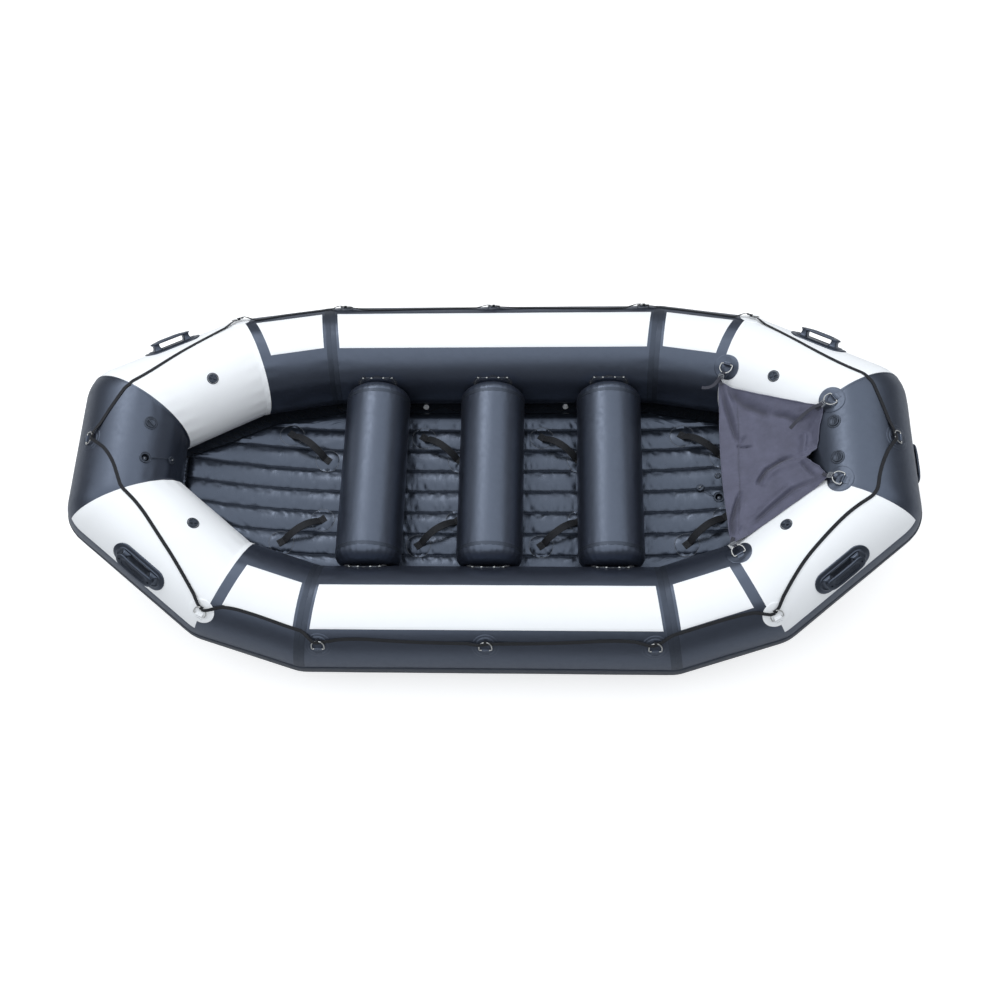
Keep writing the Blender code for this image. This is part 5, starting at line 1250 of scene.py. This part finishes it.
def handle(node, tube, along, angle, rise=0.0):
    """A moulded handle: a broad flat rim, a raised bead inside it, two posts and a ribbed grip."""
    origin = tube.point(along, angle)
    x_way, y_way, up = tube.along, tube.round_way(angle), tube.normal(angle)

    def on_tube(x, y, height):
        """A place over the tube's skin; no height is the rim's foot, which stands on the strake where one is below."""
        at = angle + degrees(asin(y / TUBE_RADIUS))
        if height is None:
            return tube.skin(along + x, at, 0.0062 if rise and -14.4 < at < 8.4 else -0.0008)
        return tube.skin(along + x, at, rise + height)

    def over(x, y, z):
        crown = 0.005 * smooth(min(1.0, max(0.0, (abs(x) - 0.033) / 0.070))) * min(1.0, max(0.0, (z - 0.033) / 0.010))
        return origin + x_way * x + y_way * y + up * (z + rise - crown)

    piece("base_" + node, loft([
        [on_tube(x, y, height) for x, y in stadium(HANDLE_LENGTH - 2 * inset, HANDLE_WIDTH - 2 * inset, 14, 10)]
        for inset, height in (
            (0.0, None), (0.0, 0.0026), (0.0010, 0.0042), (0.0032, 0.0050), (0.0100, 0.0053), (0.0170, 0.0052),
            (0.0195, 0.0056), (0.0212, 0.0074), (0.0232, 0.0082), (0.0252, 0.0074), (0.0270, 0.0050),
            (0.0320, 0.0040), (0.0400, 0.0038),
        )
    ]), RUBBER, replaces=[node], angle=50)
    bm = bmesh.new()
    for sign in (1, -1):
        loft([
            [over(sign * 0.079 + x, y, z) for x, y in rounded_rectangle(wide / 2, deep / 2, 0.009)]
            for wide, deep, z in (
                (0.060, 0.056, 0.0035), (0.046, 0.050, 0.0052), (0.036, 0.046, 0.0090), (0.030, 0.043, 0.0160),
                (0.028, 0.042, 0.0250), (0.032, 0.043, 0.0345),
            )
        ], bm)
    piece("posts_" + node, bm, RUBBER, angle=50)
    grip = piece("grip_" + node, loft([
        [over(x, y, z) for x, y in stadium(length - 2 * inset, width - 2 * inset, 10, 8)]
        for length, width, inset, z in (
            (0.208, 0.058, 0.0060, 0.0330), (0.208, 0.058, 0.0022, 0.0336), (0.208, 0.058, 0.0004, 0.0352),
            (0.208, 0.058, 0.0, 0.0380), (0.208, 0.058, 0.0, 0.0402), (0.208, 0.058, 0.0008, 0.0428),
            (0.208, 0.058, 0.0026, 0.0444), (0.208, 0.058, 0.0050, 0.0450), (0.1400, 0.0340, 0.0, 0.0450),
            (0.1380, 0.0320, 0.0, 0.0446), (0.1365, 0.0305, 0.0, 0.0415),
        )
    ]), RUBBER, angle=50)
    holes = []
    for sign in (1, -1):
        box = bmesh.new()
        place = Matrix.Translation(over(sign * 0.0850, 0.0, 0.045)) @ placed(x_way, y_way, Vector((0, 0, 0)))
        bmesh.ops.create_cube(box, size=1.0, matrix=place @ Matrix.Diagonal((0.0085, 0.0085, 0.016, 1.0)))
        holes.append(object_from("cutter", box))
    boolean(grip, holes)
    bm = bmesh.new()
    for n in range(19):
        x = -0.054 + 0.006 * n
        wide = 0.0130 if abs(x) < 0.050 else 0.0105
        swept([over(x, -wide, 0.0416), over(x, wide, 0.0416)], 0.0014, 6, bm=bm)
    piece("ribs_" + node, bm, RUBBER)


def handles():
    for fore in (BOW, STERN):
        for side in (PORT, STARBOARD):
            handle(f"carry_handle_{corner_name(fore, side)}", TUBES["corner", fore, side], 0.331, 43.0)
        end = TUBES["end", fore, 0]
        handle(f"carry_handle_{FORE_NAME[fore]}", end, end.length / 2, -14.0, 0.006)


# Valves

def lobed(profile, matrix, steps, lobes, depth):
    """A turned shape of (radius, height, share) rings whose edge carries small grip notches."""
    rings = []
    for radius, height, share in profile:
        ring = []
        for a in turns(steps):
            r = radius - depth * share * (0.5 + 0.5 * cos(a * lobes))
            ring.append(matrix @ Vector((r * cos(a), r * sin(a), height)))
        rings.append(ring)
    return loft(rings)


def grip_bar(matrix, length, width, low, high, bm):
    """A raised bar with rounded shoulders across a cap."""
    loft([
        [matrix @ Vector((x, y, z)) for x, y in stadium(length - 2 * inset, width - 2 * inset, 6, 3)]
        for inset, z in ((0.0, low), (0.0, high - 0.0012), (0.0005, high - 0.0004), (0.0014, high))
    ], bm)


def valve_cap(node, matrix, radius, bars):
    top = VALVE_TOP
    bm = lobed((
        (radius * 0.05, top - 0.0034, 0), (radius * 0.66, top - 0.0034, 0), (radius * 0.72, top - 0.0028, 0),
        (radius * 0.75, top - 0.0004, 0), (radius * 0.78, top, 0), (radius - 0.0026, top, 0.3),
        (radius - 0.0009, top - 0.0006, 0.7), (radius, top - 0.0020, 1), (radius, 0.0026, 1), (radius, -0.0050, 0),
    ), matrix, 96, 24, 0.0009)
    for turn in bars:
        place = matrix @ Matrix.Rotation(radians(turn), 4, "Z")
        grip_bar(place, 2 * radius - 0.009, 0.0064, top - 0.0040, top + 0.0026, bm)
    piece("cap_" + node, bm, PLASTIC, BODY_OF[node], [node], 30)


def valve_flange(node, surface, matrix, inner, outer, height, cup=None):
    """The moulded ring a valve's cap sits in; a cup lines the bore of a valve that stands open."""
    low = cup or -0.0040
    rings = [circle_on(surface, radius, lift, 64) for radius, lift in (
        (outer, -0.0040), (outer, 0.0002), (outer - 0.0006, height * 0.7), (outer - 0.0022, height),
        (inner + 0.0016, height), (inner + 0.0004, height - 0.0004),
    )]
    rings += [circle(matrix, inner, lift, 64) for lift in (height - 0.0012, low)]
    if cup:
        rings += [circle(matrix, 0.7 * inner, low + lift, 64) for lift in (0.002, -0.0006)]
        rings.append(circle(matrix, inner + 0.0007, low - 0.0006, 64))
    else:
        rings.append(circle(matrix, outer, low, 64))
    piece("flange_" + node, loft(rings, wrap=True), PLASTIC)


def on_valve_tube(tube, matrix):
    """The tube's skin under a place in a valve's own frame."""
    def surface(x, y, height):
        along, angle = tube.locate(matrix @ Vector((x, y, 0.0)))
        return tube.skin(along, angle, height)
    return surface


def plunger(node, matrix):
    """The valve's plunger: a dished head with a steel pin in its middle."""
    piece("head_" + node, turned((
        (0.0035, -0.0098), (0.0080, -0.0100), (0.0100, -0.0106), (0.0110, -0.0118), (0.0110, -0.0132),
        (0.0060, -0.0150), (0.0030, -0.0160), (0.0030, -0.0375),
    ), matrix, 32), PLASTIC, BODY_OF[node], [node])
    pin = turned(((0.0006, -0.0066), (0.0020, -0.0070), (0.0030, -0.0080), (0.0034, -0.0105)), matrix, 24)
    piece("pin_" + node, pin, STEEL, BODY_OF[node])


def loose_cap(node, matrix, eye, start, anchor, lift):
    """A cap laid aside: ribbed edge, winged grip, and a thin tether with an eye round the valve."""
    bm = lobed((
        (0.0010, 0.0074, 0), (0.0120, 0.0074, 0), (0.0130, 0.0088, 0), (0.0165, 0.0090, 0.4), (0.0182, 0.0080, 1),
        (0.0185, 0.0062, 1), (0.0185, 0.0030, 1), (0.0168, 0.0022, 0), (0.0165, 0.0004, 0), (0.0150, 0.0, 0),
    ), matrix, 96, 20, 0.0012)
    grip_bar(matrix @ Matrix.Rotation(0.6, 4, "Z"), 0.030, 0.0055, 0.0065, 0.0125, bm)
    piece("cap_" + node, bm, PLASTIC, BODY_OF[node], [node], 30)
    middle = (start + anchor) / 2 + lift
    path = [start, start.lerp(middle, 0.6), middle, middle.lerp(anchor, 0.5), anchor]
    bm = swept(eased(path, 3), 0.0018, 8)
    piece("tether_" + node, swept(eye, 0.0018, 8, True, bm=bm), RUBBER, BODY_OF[node])
    rivet = turned(((0.0006, 0.0146), (0.0022, 0.0142), (0.0034, 0.0130), (0.0036, 0.0116)), matrix, 20)
    piece("rivet_" + node, rivet, STEEL, BODY_OF[node])


def end_valve(tube, fore, side):
    """A closed valve on an end tube, or the one at the stern that stands open with its cap hanging."""
    matrix = valve_frame(tube, tube.length / 2 + side * END_VALVE_Y, END_VALVE_ANGLE)
    surface = on_valve_tube(tube, matrix)
    if (fore, side) != (STERN, STARBOARD):
        node = f"valve_cap_{corner_name(fore, side)}"
        valve_flange(node, surface, matrix, 0.0256, 0.0334, 0.0034)
        valve_cap(node, matrix, 0.0238, (140.0 if fore == STERN else 95.0,))
        return
    valve_flange("valve_poppet_stern", surface, matrix, 0.0180, 0.0275, 0.0024, VALVE_CUP)
    plunger("valve_poppet_stern", matrix)
    place = valve_frame(tube, tube.length / 2 - END_VALVE_Y + 0.030, 156.0)
    place = place @ Matrix.Translation((0.0, 0.0, 0.0012))
    loose_cap(
        "valve_cap_stern_loose", place, circle_on(surface, EYE_RADIUS, 0.0036, 48),
        place @ Vector((-0.016, 0.0, 0.0070)), matrix @ Vector((EYE_RADIUS, 0.004, 0.0040)),
        place.to_3x3() @ UP * 0.010,
    )


def floor_valves():
    matrix = floor_frame(*FLOOR_VALVE)

    def surface(x, y, height):
        return matrix @ Vector((x, y, 0.0)) + UP * (height if height > 0 else height - 0.004)

    valve_flange("floor_valve_poppet", surface, matrix, 0.0180, 0.0275, 0.0026, VALVE_CUP)
    plunger("floor_valve_poppet", matrix)
    lift = floor_smooth(1.045, 0.0185).z - floor_smooth(1.045, 0.0).z + 0.0010
    place = floor_frame(1.045, 0.0) @ Matrix.Translation((0.0, 0.0, lift))
    loose_cap(
        "floor_valve_cap", place, circle(matrix, EYE_RADIUS, 0.0040, 48),
        place @ Vector((0.012, -0.012, 0.0078)), matrix @ Vector((-0.0255, 0.004, 0.0042)), UP * 0.014,
    )
    relief = floor_frame(*RELIEF_VALVE)
    piece("relief_valve", turned((
        (0.0010, 0.0050), (0.0040, 0.0050), (0.0048, 0.0062), (0.0090, 0.0062), (0.0098, 0.0050), (0.0132, 0.0048),
        (0.0150, 0.0030), (0.0160, 0.0010), (0.0162, -0.0060),
    ), relief, 40), PLASTIC)
    bm = bmesh.new()
    for a in (pi * n / 3 for n in range(6)):
        swept([relief @ Vector((r * cos(a), r * sin(a), 0.0053)) for r in (0.0100, 0.0130)], 0.0009, 6, bm=bm)
    piece("relief_vents", bm, STEEL)


def valves():
    for fore, side in CORNERS:
        tube = TUBES["corner", fore, side]
        matrix = valve_frame(tube, 0.281, 119.5)
        node = f"valve_cap_corner_{corner_name(fore, side)}"
        valve_flange(node, on_valve_tube(tube, matrix), matrix, 0.0246, 0.0286, 0.0028)
        valve_cap(node, matrix, 0.0230, (45.0, 135.0))
    for fore in (BOW, STERN):
        for side in (PORT, STARBOARD):
            end_valve(TUBES["end", fore, 0], fore, side)
    floor_valves()


# The stow bag

BAG_AFT = (1.122, 0.425, AXIS_HEIGHT + 0.250)
BAG_FORE = (1.538, 0.178, AXIS_HEIGHT + 0.456)
# how far the mouth's edge lies from the line between its corners, and its side-to-side place, as shares
MOUTH_SHARES = (
    (-1.0, 0.0), (-0.85, 0.016), (-0.62, 0.036), (-0.45, 0.070), (-0.33, 0.092), (-0.20, 0.068), (-0.06, 0.036),
    (0.12, 0.012), (0.33, 0.004), (0.6, -0.002), (0.74, -0.003), (0.94, -0.008), (1.0, 0.0),
)
# creases: depth, half width and line in plan
CREASES = (
    (-0.0055, 0.011, ((1.122, 0.404), (1.149, 0.279), (1.175, 0.170), (1.190, 0.100))),
    (0.0035, 0.014, ((1.140, 0.404), (1.172, 0.270), (1.200, 0.120))),
    (-0.0040, 0.006, ((1.186, 0.086), (1.215, 0.076), (1.252, 0.074))),
    (-0.0030, 0.006, ((1.186, 0.086), (1.205, 0.104), (1.228, 0.132))),
    (-0.0075, 0.012, ((1.258, -0.140), (1.274, -0.105), (1.306, -0.061), (1.367, -0.032), (1.419, -0.024))),
    (0.0045, 0.016, ((1.275, -0.150), (1.315, -0.095), (1.372, -0.060), (1.420, -0.050))),
    (-0.0070, 0.011, ((1.130, -0.392), (1.137, -0.303), (1.160, -0.225), (1.186, -0.150))),
    (0.0040, 0.014, ((1.150, -0.385), (1.160, -0.300), (1.190, -0.215))),
    (-0.0050, 0.012, ((1.205, -0.345), (1.265, -0.300), (1.317, -0.257), (1.412, -0.190), (1.500, -0.172))),
    (0.0035, 0.014, ((1.230, -0.305), (1.317, -0.232), (1.400, -0.165))),
    (-0.0060, 0.022, ((1.139, 0.402), (1.225, 0.290), (1.300, 0.235), (1.339, 0.210))),
    (-0.0050, 0.014, ((1.330, 0.215), (1.400, 0.190), (1.449, 0.150), (1.500, 0.160))),
    (0.0060, 0.012, ((1.476, 0.085), (1.468, 0.030), (1.452, -0.040))),
    (-0.0040, 0.009, ((1.440, -0.070), (1.465, -0.110), (1.500, -0.160))),
)
# the sewn line across the upper sheet, in plan
SEAM = ((1.196, 0.345), (1.195, 0.187), (1.191, 0.081), (1.187, -0.021), (1.183, -0.153), (1.170, -0.270),
        (1.156, -0.372))
# the loose ends of the buckled straps, by ring
TAILS = {
    "bag_ring_aft_port": ((1.105, 0.418, 0.505), (1.085, 0.396, 0.498), (1.055, 0.388, 0.490), (1.030, 0.392, 0.487)),
    "bag_ring_fore_port": ((1.500, 0.168, 0.703), (1.465, 0.148, 0.676), (1.430, 0.118, 0.657), (1.402, 0.090, 0.642)),
}
HANG_FRAMES = 40
HANG_LIMIT = 0.024


def between(table, at):
    for (a, low), (b, high) in zip(table, table[1:]):
        if at <= b:
            return low + (high - low) * smooth((at - a) / (b - a))
    return table[-1][1]


def bag_point(u, v):
    """The bag's upper sheet at a share u from aft to fore and v from -1 to 1 across."""
    fore_x = BAG_FORE[0] - between(MOUTH_SHARES, v)
    aft_x = BAG_AFT[0] - 0.021 * (1 - v * v) - 0.007 * max(0.0, v)
    x = aft_x + (fore_x - aft_x) * u
    half, z = (aft + (fore - aft) * u for aft, fore in zip(BAG_AFT[1:], BAG_FORE[1:]))
    hang = (1 - v * v) * (0.45 + 0.55 * sin(pi * (0.25 + 0.6 * u)))
    waist = 1 - (0.055 if v > 0 else -0.004) * sin(pi * u ** 0.62)
    return Vector((x, half * v * waist, z - 0.060 * hang))


def clear_of_tubes(place, gap=0.005):
    """A place moved off the hull where it would come too close."""
    for key in (("corner", BOW, PORT), ("corner", BOW, STARBOARD), ("quarter", BOW, PORT), ("quarter", BOW, STARBOARD),
                ("end", BOW, 0)):
        tube = TUBES[key]
        offset = place - tube.start
        along = offset.dot(tube.along)
        if not -0.05 < along < tube.length + 0.05:
            continue
        offset -= tube.along * along
        if offset.length < TUBE_RADIUS + gap:
            place = place + offset.normalized() * (TUBE_RADIUS + gap - offset.length)
    return place


def hung_sheet(rows, columns):
    """The upper sheet after it has hung from its four corners."""
    start = [[clear_of_tubes(bag_point(n / rows, -1 + 2 * k / columns)) for k in range(columns + 1)]
             for n in range(rows + 1)]
    wide = columns + 1
    faces = [(a, a + 1, a + wide + 1, a + wide) for a in (n * wide + k for n in range(rows) for k in range(columns))]
    mesh = bpy.data.meshes.new("sheet")
    mesh.from_pydata([p for row in start for p in row], [], faces)
    item = linked("sheet", mesh)
    pins = item.vertex_groups.new(name="pins")
    pins.add([n * wide + k for n in (0, rows) for k in (0, 1, columns - 1, columns)], 1.0, "REPLACE")
    modifier = item.modifiers.new("hang", "CLOTH")
    for key, value in {
        "vertex_group_mass": "pins", "quality": 8, "mass": 0.25, "tension_stiffness": 40, "compression_stiffness": 40,
        "shear_stiffness": 15, "bending_stiffness": 0.6, "tension_damping": 20, "shear_damping": 20, "air_damping": 4,
        "shrink_min": -0.018,
    }.items():
        setattr(modifier.settings, key, value)
    modifier.point_cache.frame_start = 1
    modifier.point_cache.frame_end = HANG_FRAMES
    scene = bpy.context.scene
    for number in range(1, HANG_FRAMES + 1):
        scene.frame_set(number)
    evaluated = item.evaluated_get(bpy.context.evaluated_depsgraph_get())
    hung = [v.co.copy() for v in evaluated.data.vertices]
    scene.frame_set(1)
    bpy.data.objects.remove(item)
    for n, row in enumerate(start):
        for k, here in enumerate(row):
            moved = hung[n * wide + k] - here
            if moved.length > HANG_LIMIT:
                moved *= HANG_LIMIT / moved.length
            row[k] = clear_of_tubes(here + moved)
    return start


def refined(grid, times):
    """More rows and columns between those of a grid, on smooth curves through them."""
    def dense(line):
        found = []
        last = len(line) - 1
        for n in range(last):
            p0, p1, p2, p3 = line[max(0, n - 1)], line[n], line[n + 1], line[min(last, n + 2)]
            for t in (k / times for k in range(times)):
                found.append((p1 * 2 + (p2 - p0) * t + (p0 * 2 - p1 * 5 + p2 * 4 - p3) * (t * t)
                              + (p1 * 3 - p0 - p2 * 3 + p3) * (t * t * t)) * 0.5)
        return found + [line[-1]]
    columns = [dense(column) for column in zip(*(dense(row) for row in grid))]
    return [list(row) for row in zip(*columns)]


def creased(place):
    """A place moved by the handling creases and by the gathers along the sewn line, and the painted shade of the
    creases and of the sewn line's groove there.
    """
    x, y, _ = place
    rise = 0.0
    painted_shade_level = 0.0
    for depth, width, line in CREASES:
        away, where = nearest_on(x, y, line)
        if away < 3 * width:
            share = min(1.0, 5 * where, 5 * (1 - where)) ** 0.5 * exp(-(away / width) ** 2)
            rise += 3.2 * depth * share
            # painted shade along the hollow creases, darker for the deeper ones
            painted_shade_level = max(painted_shade_level, -depth / 0.0075 * share ** 2.2)
    away, where = nearest_on(x, y, SEAM)
    if away < 0.06:
        ends = min(1.0, 10 * where, 10 * (1 - where))
        gather = noise.noise(Vector((y * 62.0, 3.1, 0.0))) + 0.5 * noise.noise(Vector((y * 130.0, 7.7, 0.0)))
        rise += ends * (0.0034 * gather * exp(-(away / 0.016) ** 2) - 0.0018 * exp(-(away / 0.0035) ** 2))
        # painted shade in the sewn line's groove
        painted_shade_level = max(painted_shade_level, 0.35 * ends * exp(-(away / 0.0045) ** 2))
    rise += 0.0022 * noise.noise(Vector((x * 17.0, y * 13.0, 4.0)))
    rise += 0.0010 * noise.noise(Vector((x * 46.0, y * 30.0, 8.0)))
    return place + UP * rise, painted_shade_level


def stow_bag():
    marked = [[creased(p) for p in row] for row in refined(hung_sheet(30, 60), 3)]
    upper = [[clear_of_tubes(p, 0.004) for p, _ in row] for row in marked]
    rows, columns = len(upper) - 1, len(upper[0]) - 1
    wall = UP * 0.0009
    outer, inner = [], []
    for n, row in enumerate(upper):
        u = n / rows
        fill = sin(pi / 2 * min(1.0, u * 1.5))
        low = []
        for k, p in enumerate(row):
            v = -1 + 2 * k / columns
            uneven = 0.004 * noise.noise(Vector((p.x * 9, p.y * 7, 9.0))) * (1 - v * v) * fill
            spot = p - UP * (0.0035 + 0.060 * (1 - v ** 4) * fill + uneven)
            if v < -0.45:
                spot.x += 0.016 * u ** 6 * sin(pi * min(1.0, (-0.45 - v) / 0.55))
            low.append(clear_of_tubes(spot, 0.003))
        low.reverse()
        outer.append(row + low)
        inner.append([p - wall for p in row] + [p + wall for p in low])
    bm = bmesh.new()
    layer = bm.loops.layers.uv.verify()
    # a vertex value of painted shade, by which the cloth's colour is darkened in its creases and along its sewn line
    crease = bm.verts.layers.float.new("crease")
    count = len(outer[0])

    def sheet(rings, flip):
        grid = [[bm.verts.new(p) for p in ring] for ring in rings]
        for here, there in zip(grid, grid[1:]):
            for k in range(count):
                j = (k + 1) % count
                corners = (here[k], here[j], there[j], there[k])
                bm.faces.new((corners[:1] + corners[:0:-1]) if flip else corners)
        return grid

    skin = sheet(outer, False)
    for ring, row in zip(skin, marked):
        for vertex, (_, painted_shade_level) in zip(ring, row):
            # painted shade in the creases and the sewn line, stored on the outer skin's vertices
            vertex[crease] = 0.8 * painted_shade_level
    # the lining stops short of the closed aft edge, and joins the skin round the mouth
    lining = sheet(inner[2:], True)
    for ring in (skin[0], lining[0]):
        for k in range(columns):
            bm.faces.new((ring[k], ring[k + 1], ring[count - 2 - k], ring[count - 1 - k]))
    for k in range(count):
        j = (k + 1) % count
        bm.faces.new((skin[-1][k], skin[-1][j], lining[-1][j], lining[-1][k]))
    for face in bm.faces:
        for loop in face.loops:
            loop[layer].uv = (loop.vert.co.x, loop.vert.co.y)
    item = piece("bag_cloth", bm, CLOTH, replaces=["stow_bag"], angle=70)
    # the hem: a folded binding round the upper sheet's edges, and the sewn line across it
    edge = [row[0] for row in upper] + upper[-1][1:] + [row[-1] for row in upper[-2::-1]] + upper[0][-2:0:-1]
    binding = strip([p + UP * 0.0001 for p in edge], [UP] * len(edge), 0.0050, 0.0030, True, crown=0.1)
    hem = piece("bag_binding", binding, CLOTH, angle=60)
    bm = bmesh.new()
    spots = []
    for k in range(4, columns - 3):
        best = min((row[k] for row in upper), key=lambda p: nearest_on(p.x, p.y, SEAM)[0])
        spots.append(best + UP * 0.0002)
    for ends in zip(spots[::2], spots[1::2]):
        swept(ends, 0.0006, 5, bm=bm)
    piece("bag_stitching", bm, STITCH)
    for seat in BAG_SEATS:
        bag_strap(seat, upper[0 if "aft" in seat.node else -1][-1 if seat.centre.y > 0 else 0])


def bag_strap(seat, corner):
    """The webbing loop from a ring to the bag's corner, its ladder buckle and its loose tail."""
    way, face = seat.tilted(BAG_RING_TILT)
    tip = seat.bar + way * (RING_LEG + RING_HALF_WIDTH)
    reach = WIRE_RADIUS + 0.0012
    centre = tip.lerp(corner, 0.5)
    inward = (Vector((1.30, 0.0, 0.56)) - corner).normalized()
    # from the bag's corner up to the buckle, round the ring's tip and back
    round_tip = [face * sin(radians(90 + 30 * n)) + way * cos(radians(90 + 30 * n)) for n in range(7)]
    points = [corner + inward * 0.030 + UP * 0.0022, corner + inward * 0.012 + UP * 0.0026, corner + UP * 0.0030]
    points += [centre + face * 0.0034] + [tip + out * reach for out in round_tip] + [centre - face * 0.0026]
    normals = [UP, UP, face, face] + round_tip + [-face]
    loop = piece(
        "loop_" + seat.node, strip(eased(points, 2), eased(normals, 2), 0.017, 0.0015), BAG_TAPE, None, angle=60
    )
    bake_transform(loop)
    across = seat.bar_way
    run = (corner - tip).normalized()
    along = (run - across * run.dot(across)).normalized()
    up = along.cross(across)
    if up.dot(face) < 0:
        up = -up
    outline = rounded_rectangle(0.0115, 0.0125, 0.004, 4)
    bm = swept([centre + along * x + across * y + up * 0.0050 for x, y in outline], 0.0022, 8, True)
    for x in (-0.0035, 0.0040):
        swept([centre + along * x + across * y + up * 0.0058 for y in (-0.011, 0.011)], 0.0017, 8, bm=bm)
    piece("buckle_" + seat.node, bm, BUCKLE, angle=40)
    if seat.node in TAILS:
        path = [Vector(p) for p in TAILS[seat.node]]
        path = [centre + up * 0.0050, centre.lerp(path[0], 0.5) + up * 0.0040] + path
        tail = strip(eased(path, 2), eased([UP + face * 0.3] * len(path), 2), 0.017, 0.0014)
        piece("tail_" + seat.node, tail, BAG_TAPE, angle=60)


# Camera, light and floor of the room

# strength of the light from all round, for matt light and for reflections
SOFT_WORLD = 0.43
GLOSS_WORLD = 0.20


def camera():
    yaw, elevation, roll = radians(7.28), radians(66.76), radians(-6.63)
    back = Vector((sin(yaw) * cos(elevation), -cos(yaw) * cos(elevation), sin(elevation)))
    right = (-back).cross(UP).normalized()
    up = right.cross(-back)
    axes = Matrix((right * cos(roll) + up * sin(roll), up * cos(roll) - right * sin(roll), back))
    data = bpy.data.cameras.new("camera")
    data.lens = 40.51
    data.sensor_width = 36.0
    data.shift_x = 0.0031
    data.shift_y = -0.0005
    data.clip_end = 200.0
    item = linked("camera", data)
    item.matrix_world = Matrix.Translation((0.3065, -2.2820, 5.1179 + AXIS_HEIGHT)) @ axes.transposed().to_4x4()
    bpy.context.scene.camera = item


def area_light(name, place, aim, size, power, colour):
    data = bpy.data.lights.new(name, "AREA")
    data.shape = "RECTANGLE"
    data.size, data.size_y = size
    data.energy = power
    data.color = colour
    item = linked(name, data)
    item.location = place
    item.rotation_mode = "QUATERNION"
    item.rotation_quaternion = (Vector(aim) - Vector(place)).to_track_quat("-Z", "Y")


def stage():
    """Soft light, and a pale floor that glows a little to the camera only."""
    world = bpy.data.worlds.new("studio")
    bpy.context.scene.world = world
    world.use_nodes = True
    tree = world.node_tree
    tree.nodes.clear()
    rays = tree.nodes.new("ShaderNodeLightPath").outputs
    dim = add(
        tree, "Math", {0: rays["Is Glossy Ray"], 1: GLOSS_WORLD - SOFT_WORLD, 2: SOFT_WORLD}, operation="MULTIPLY_ADD"
    )
    soft = add(tree, "Background", {"Color": (0.94, 0.97, 1.0, 1.0), "Strength": dim})
    white = add(tree, "Background", {"Color": (1.0, 1.0, 1.0, 1.0), "Strength": 1.0})
    # the camera's own rays see white, and all the rest the soft light
    mixed = add(tree, "MixShader", {0: rays["Is Camera Ray"], 1: soft, 2: white})
    feed(tree, tree.nodes.new("ShaderNodeOutputWorld"), {0: mixed})
    area_light("overhead", (-0.6, 0.8, 6.5), (-0.3, 0.3, 0), (17.0, 13.0), 770.0, (0.91, 0.955, 1.0))
    area_light("key", (-2.5, 3.5, 5.5), (0, 0, 0), (3.0, 2.0), 60.0, (1.0, 0.99, 0.97))
    size, low = 40.0, -0.0012
    ground = bpy.data.meshes.new("ground")
    corners = ((-size, -size, low), (size, -size, low), (size, size, low), (-size, size, low))
    ground.from_pydata(corners, [], [(0, 1, 2, 3)])
    material, tree, shader = new_material("ground")
    feed(tree, shader, {"Base Color": (0.62, 0.62, 0.62, 1.0), "Roughness": 0.9, "Specular IOR Level": 0.0})
    glow = add(tree, "Emission", {"Color": (1.0, 1.0, 1.0, 1.0), "Strength": 0.62})
    nothing = add(tree, "Emission", {"Strength": 0.0})
    seen = add(tree, "LightPath", {}, "Is Camera Ray")
    mixed = add(tree, "MixShader", {0: seen, 1: nothing, 2: glow})
    both = add(tree, "AddShader", {0: shader.outputs[0], 1: mixed})
    feed(tree, tree.nodes["Material Output"], {0: both})
    ground.materials.append(material)
    linked("ground", ground)
    bpy.context.scene.view_settings.view_transform = "Standard"


camera()
stage()
OUTER, BAG_SEATS = make_seats()
tube_skins()
glued_sheets(PANELS)
glued_sheets(BANDS)
strake()
for seat in OUTER + BAG_SEATS:
    ring_wire(seat, RING_TILT if seat in OUTER else BAG_RING_TILT)
    ring_pad(seat, WHITE if seat.node.startswith("d_ring_corner") else BLACK)
floor_body()
web_lines()
floor_flange()
for label, x in THWART_PLACES:
    thwart("thwart_" + label, x)
for side in (PORT, STARBOARD):
    for n, x in enumerate(STRAP_PLACES):
        foot_strap(f"foot_strap_{SIDE_NAME[side]}_{n + 1}", x, side)
grab_line()
line_knots()
handles()
valves()
stow_bag()
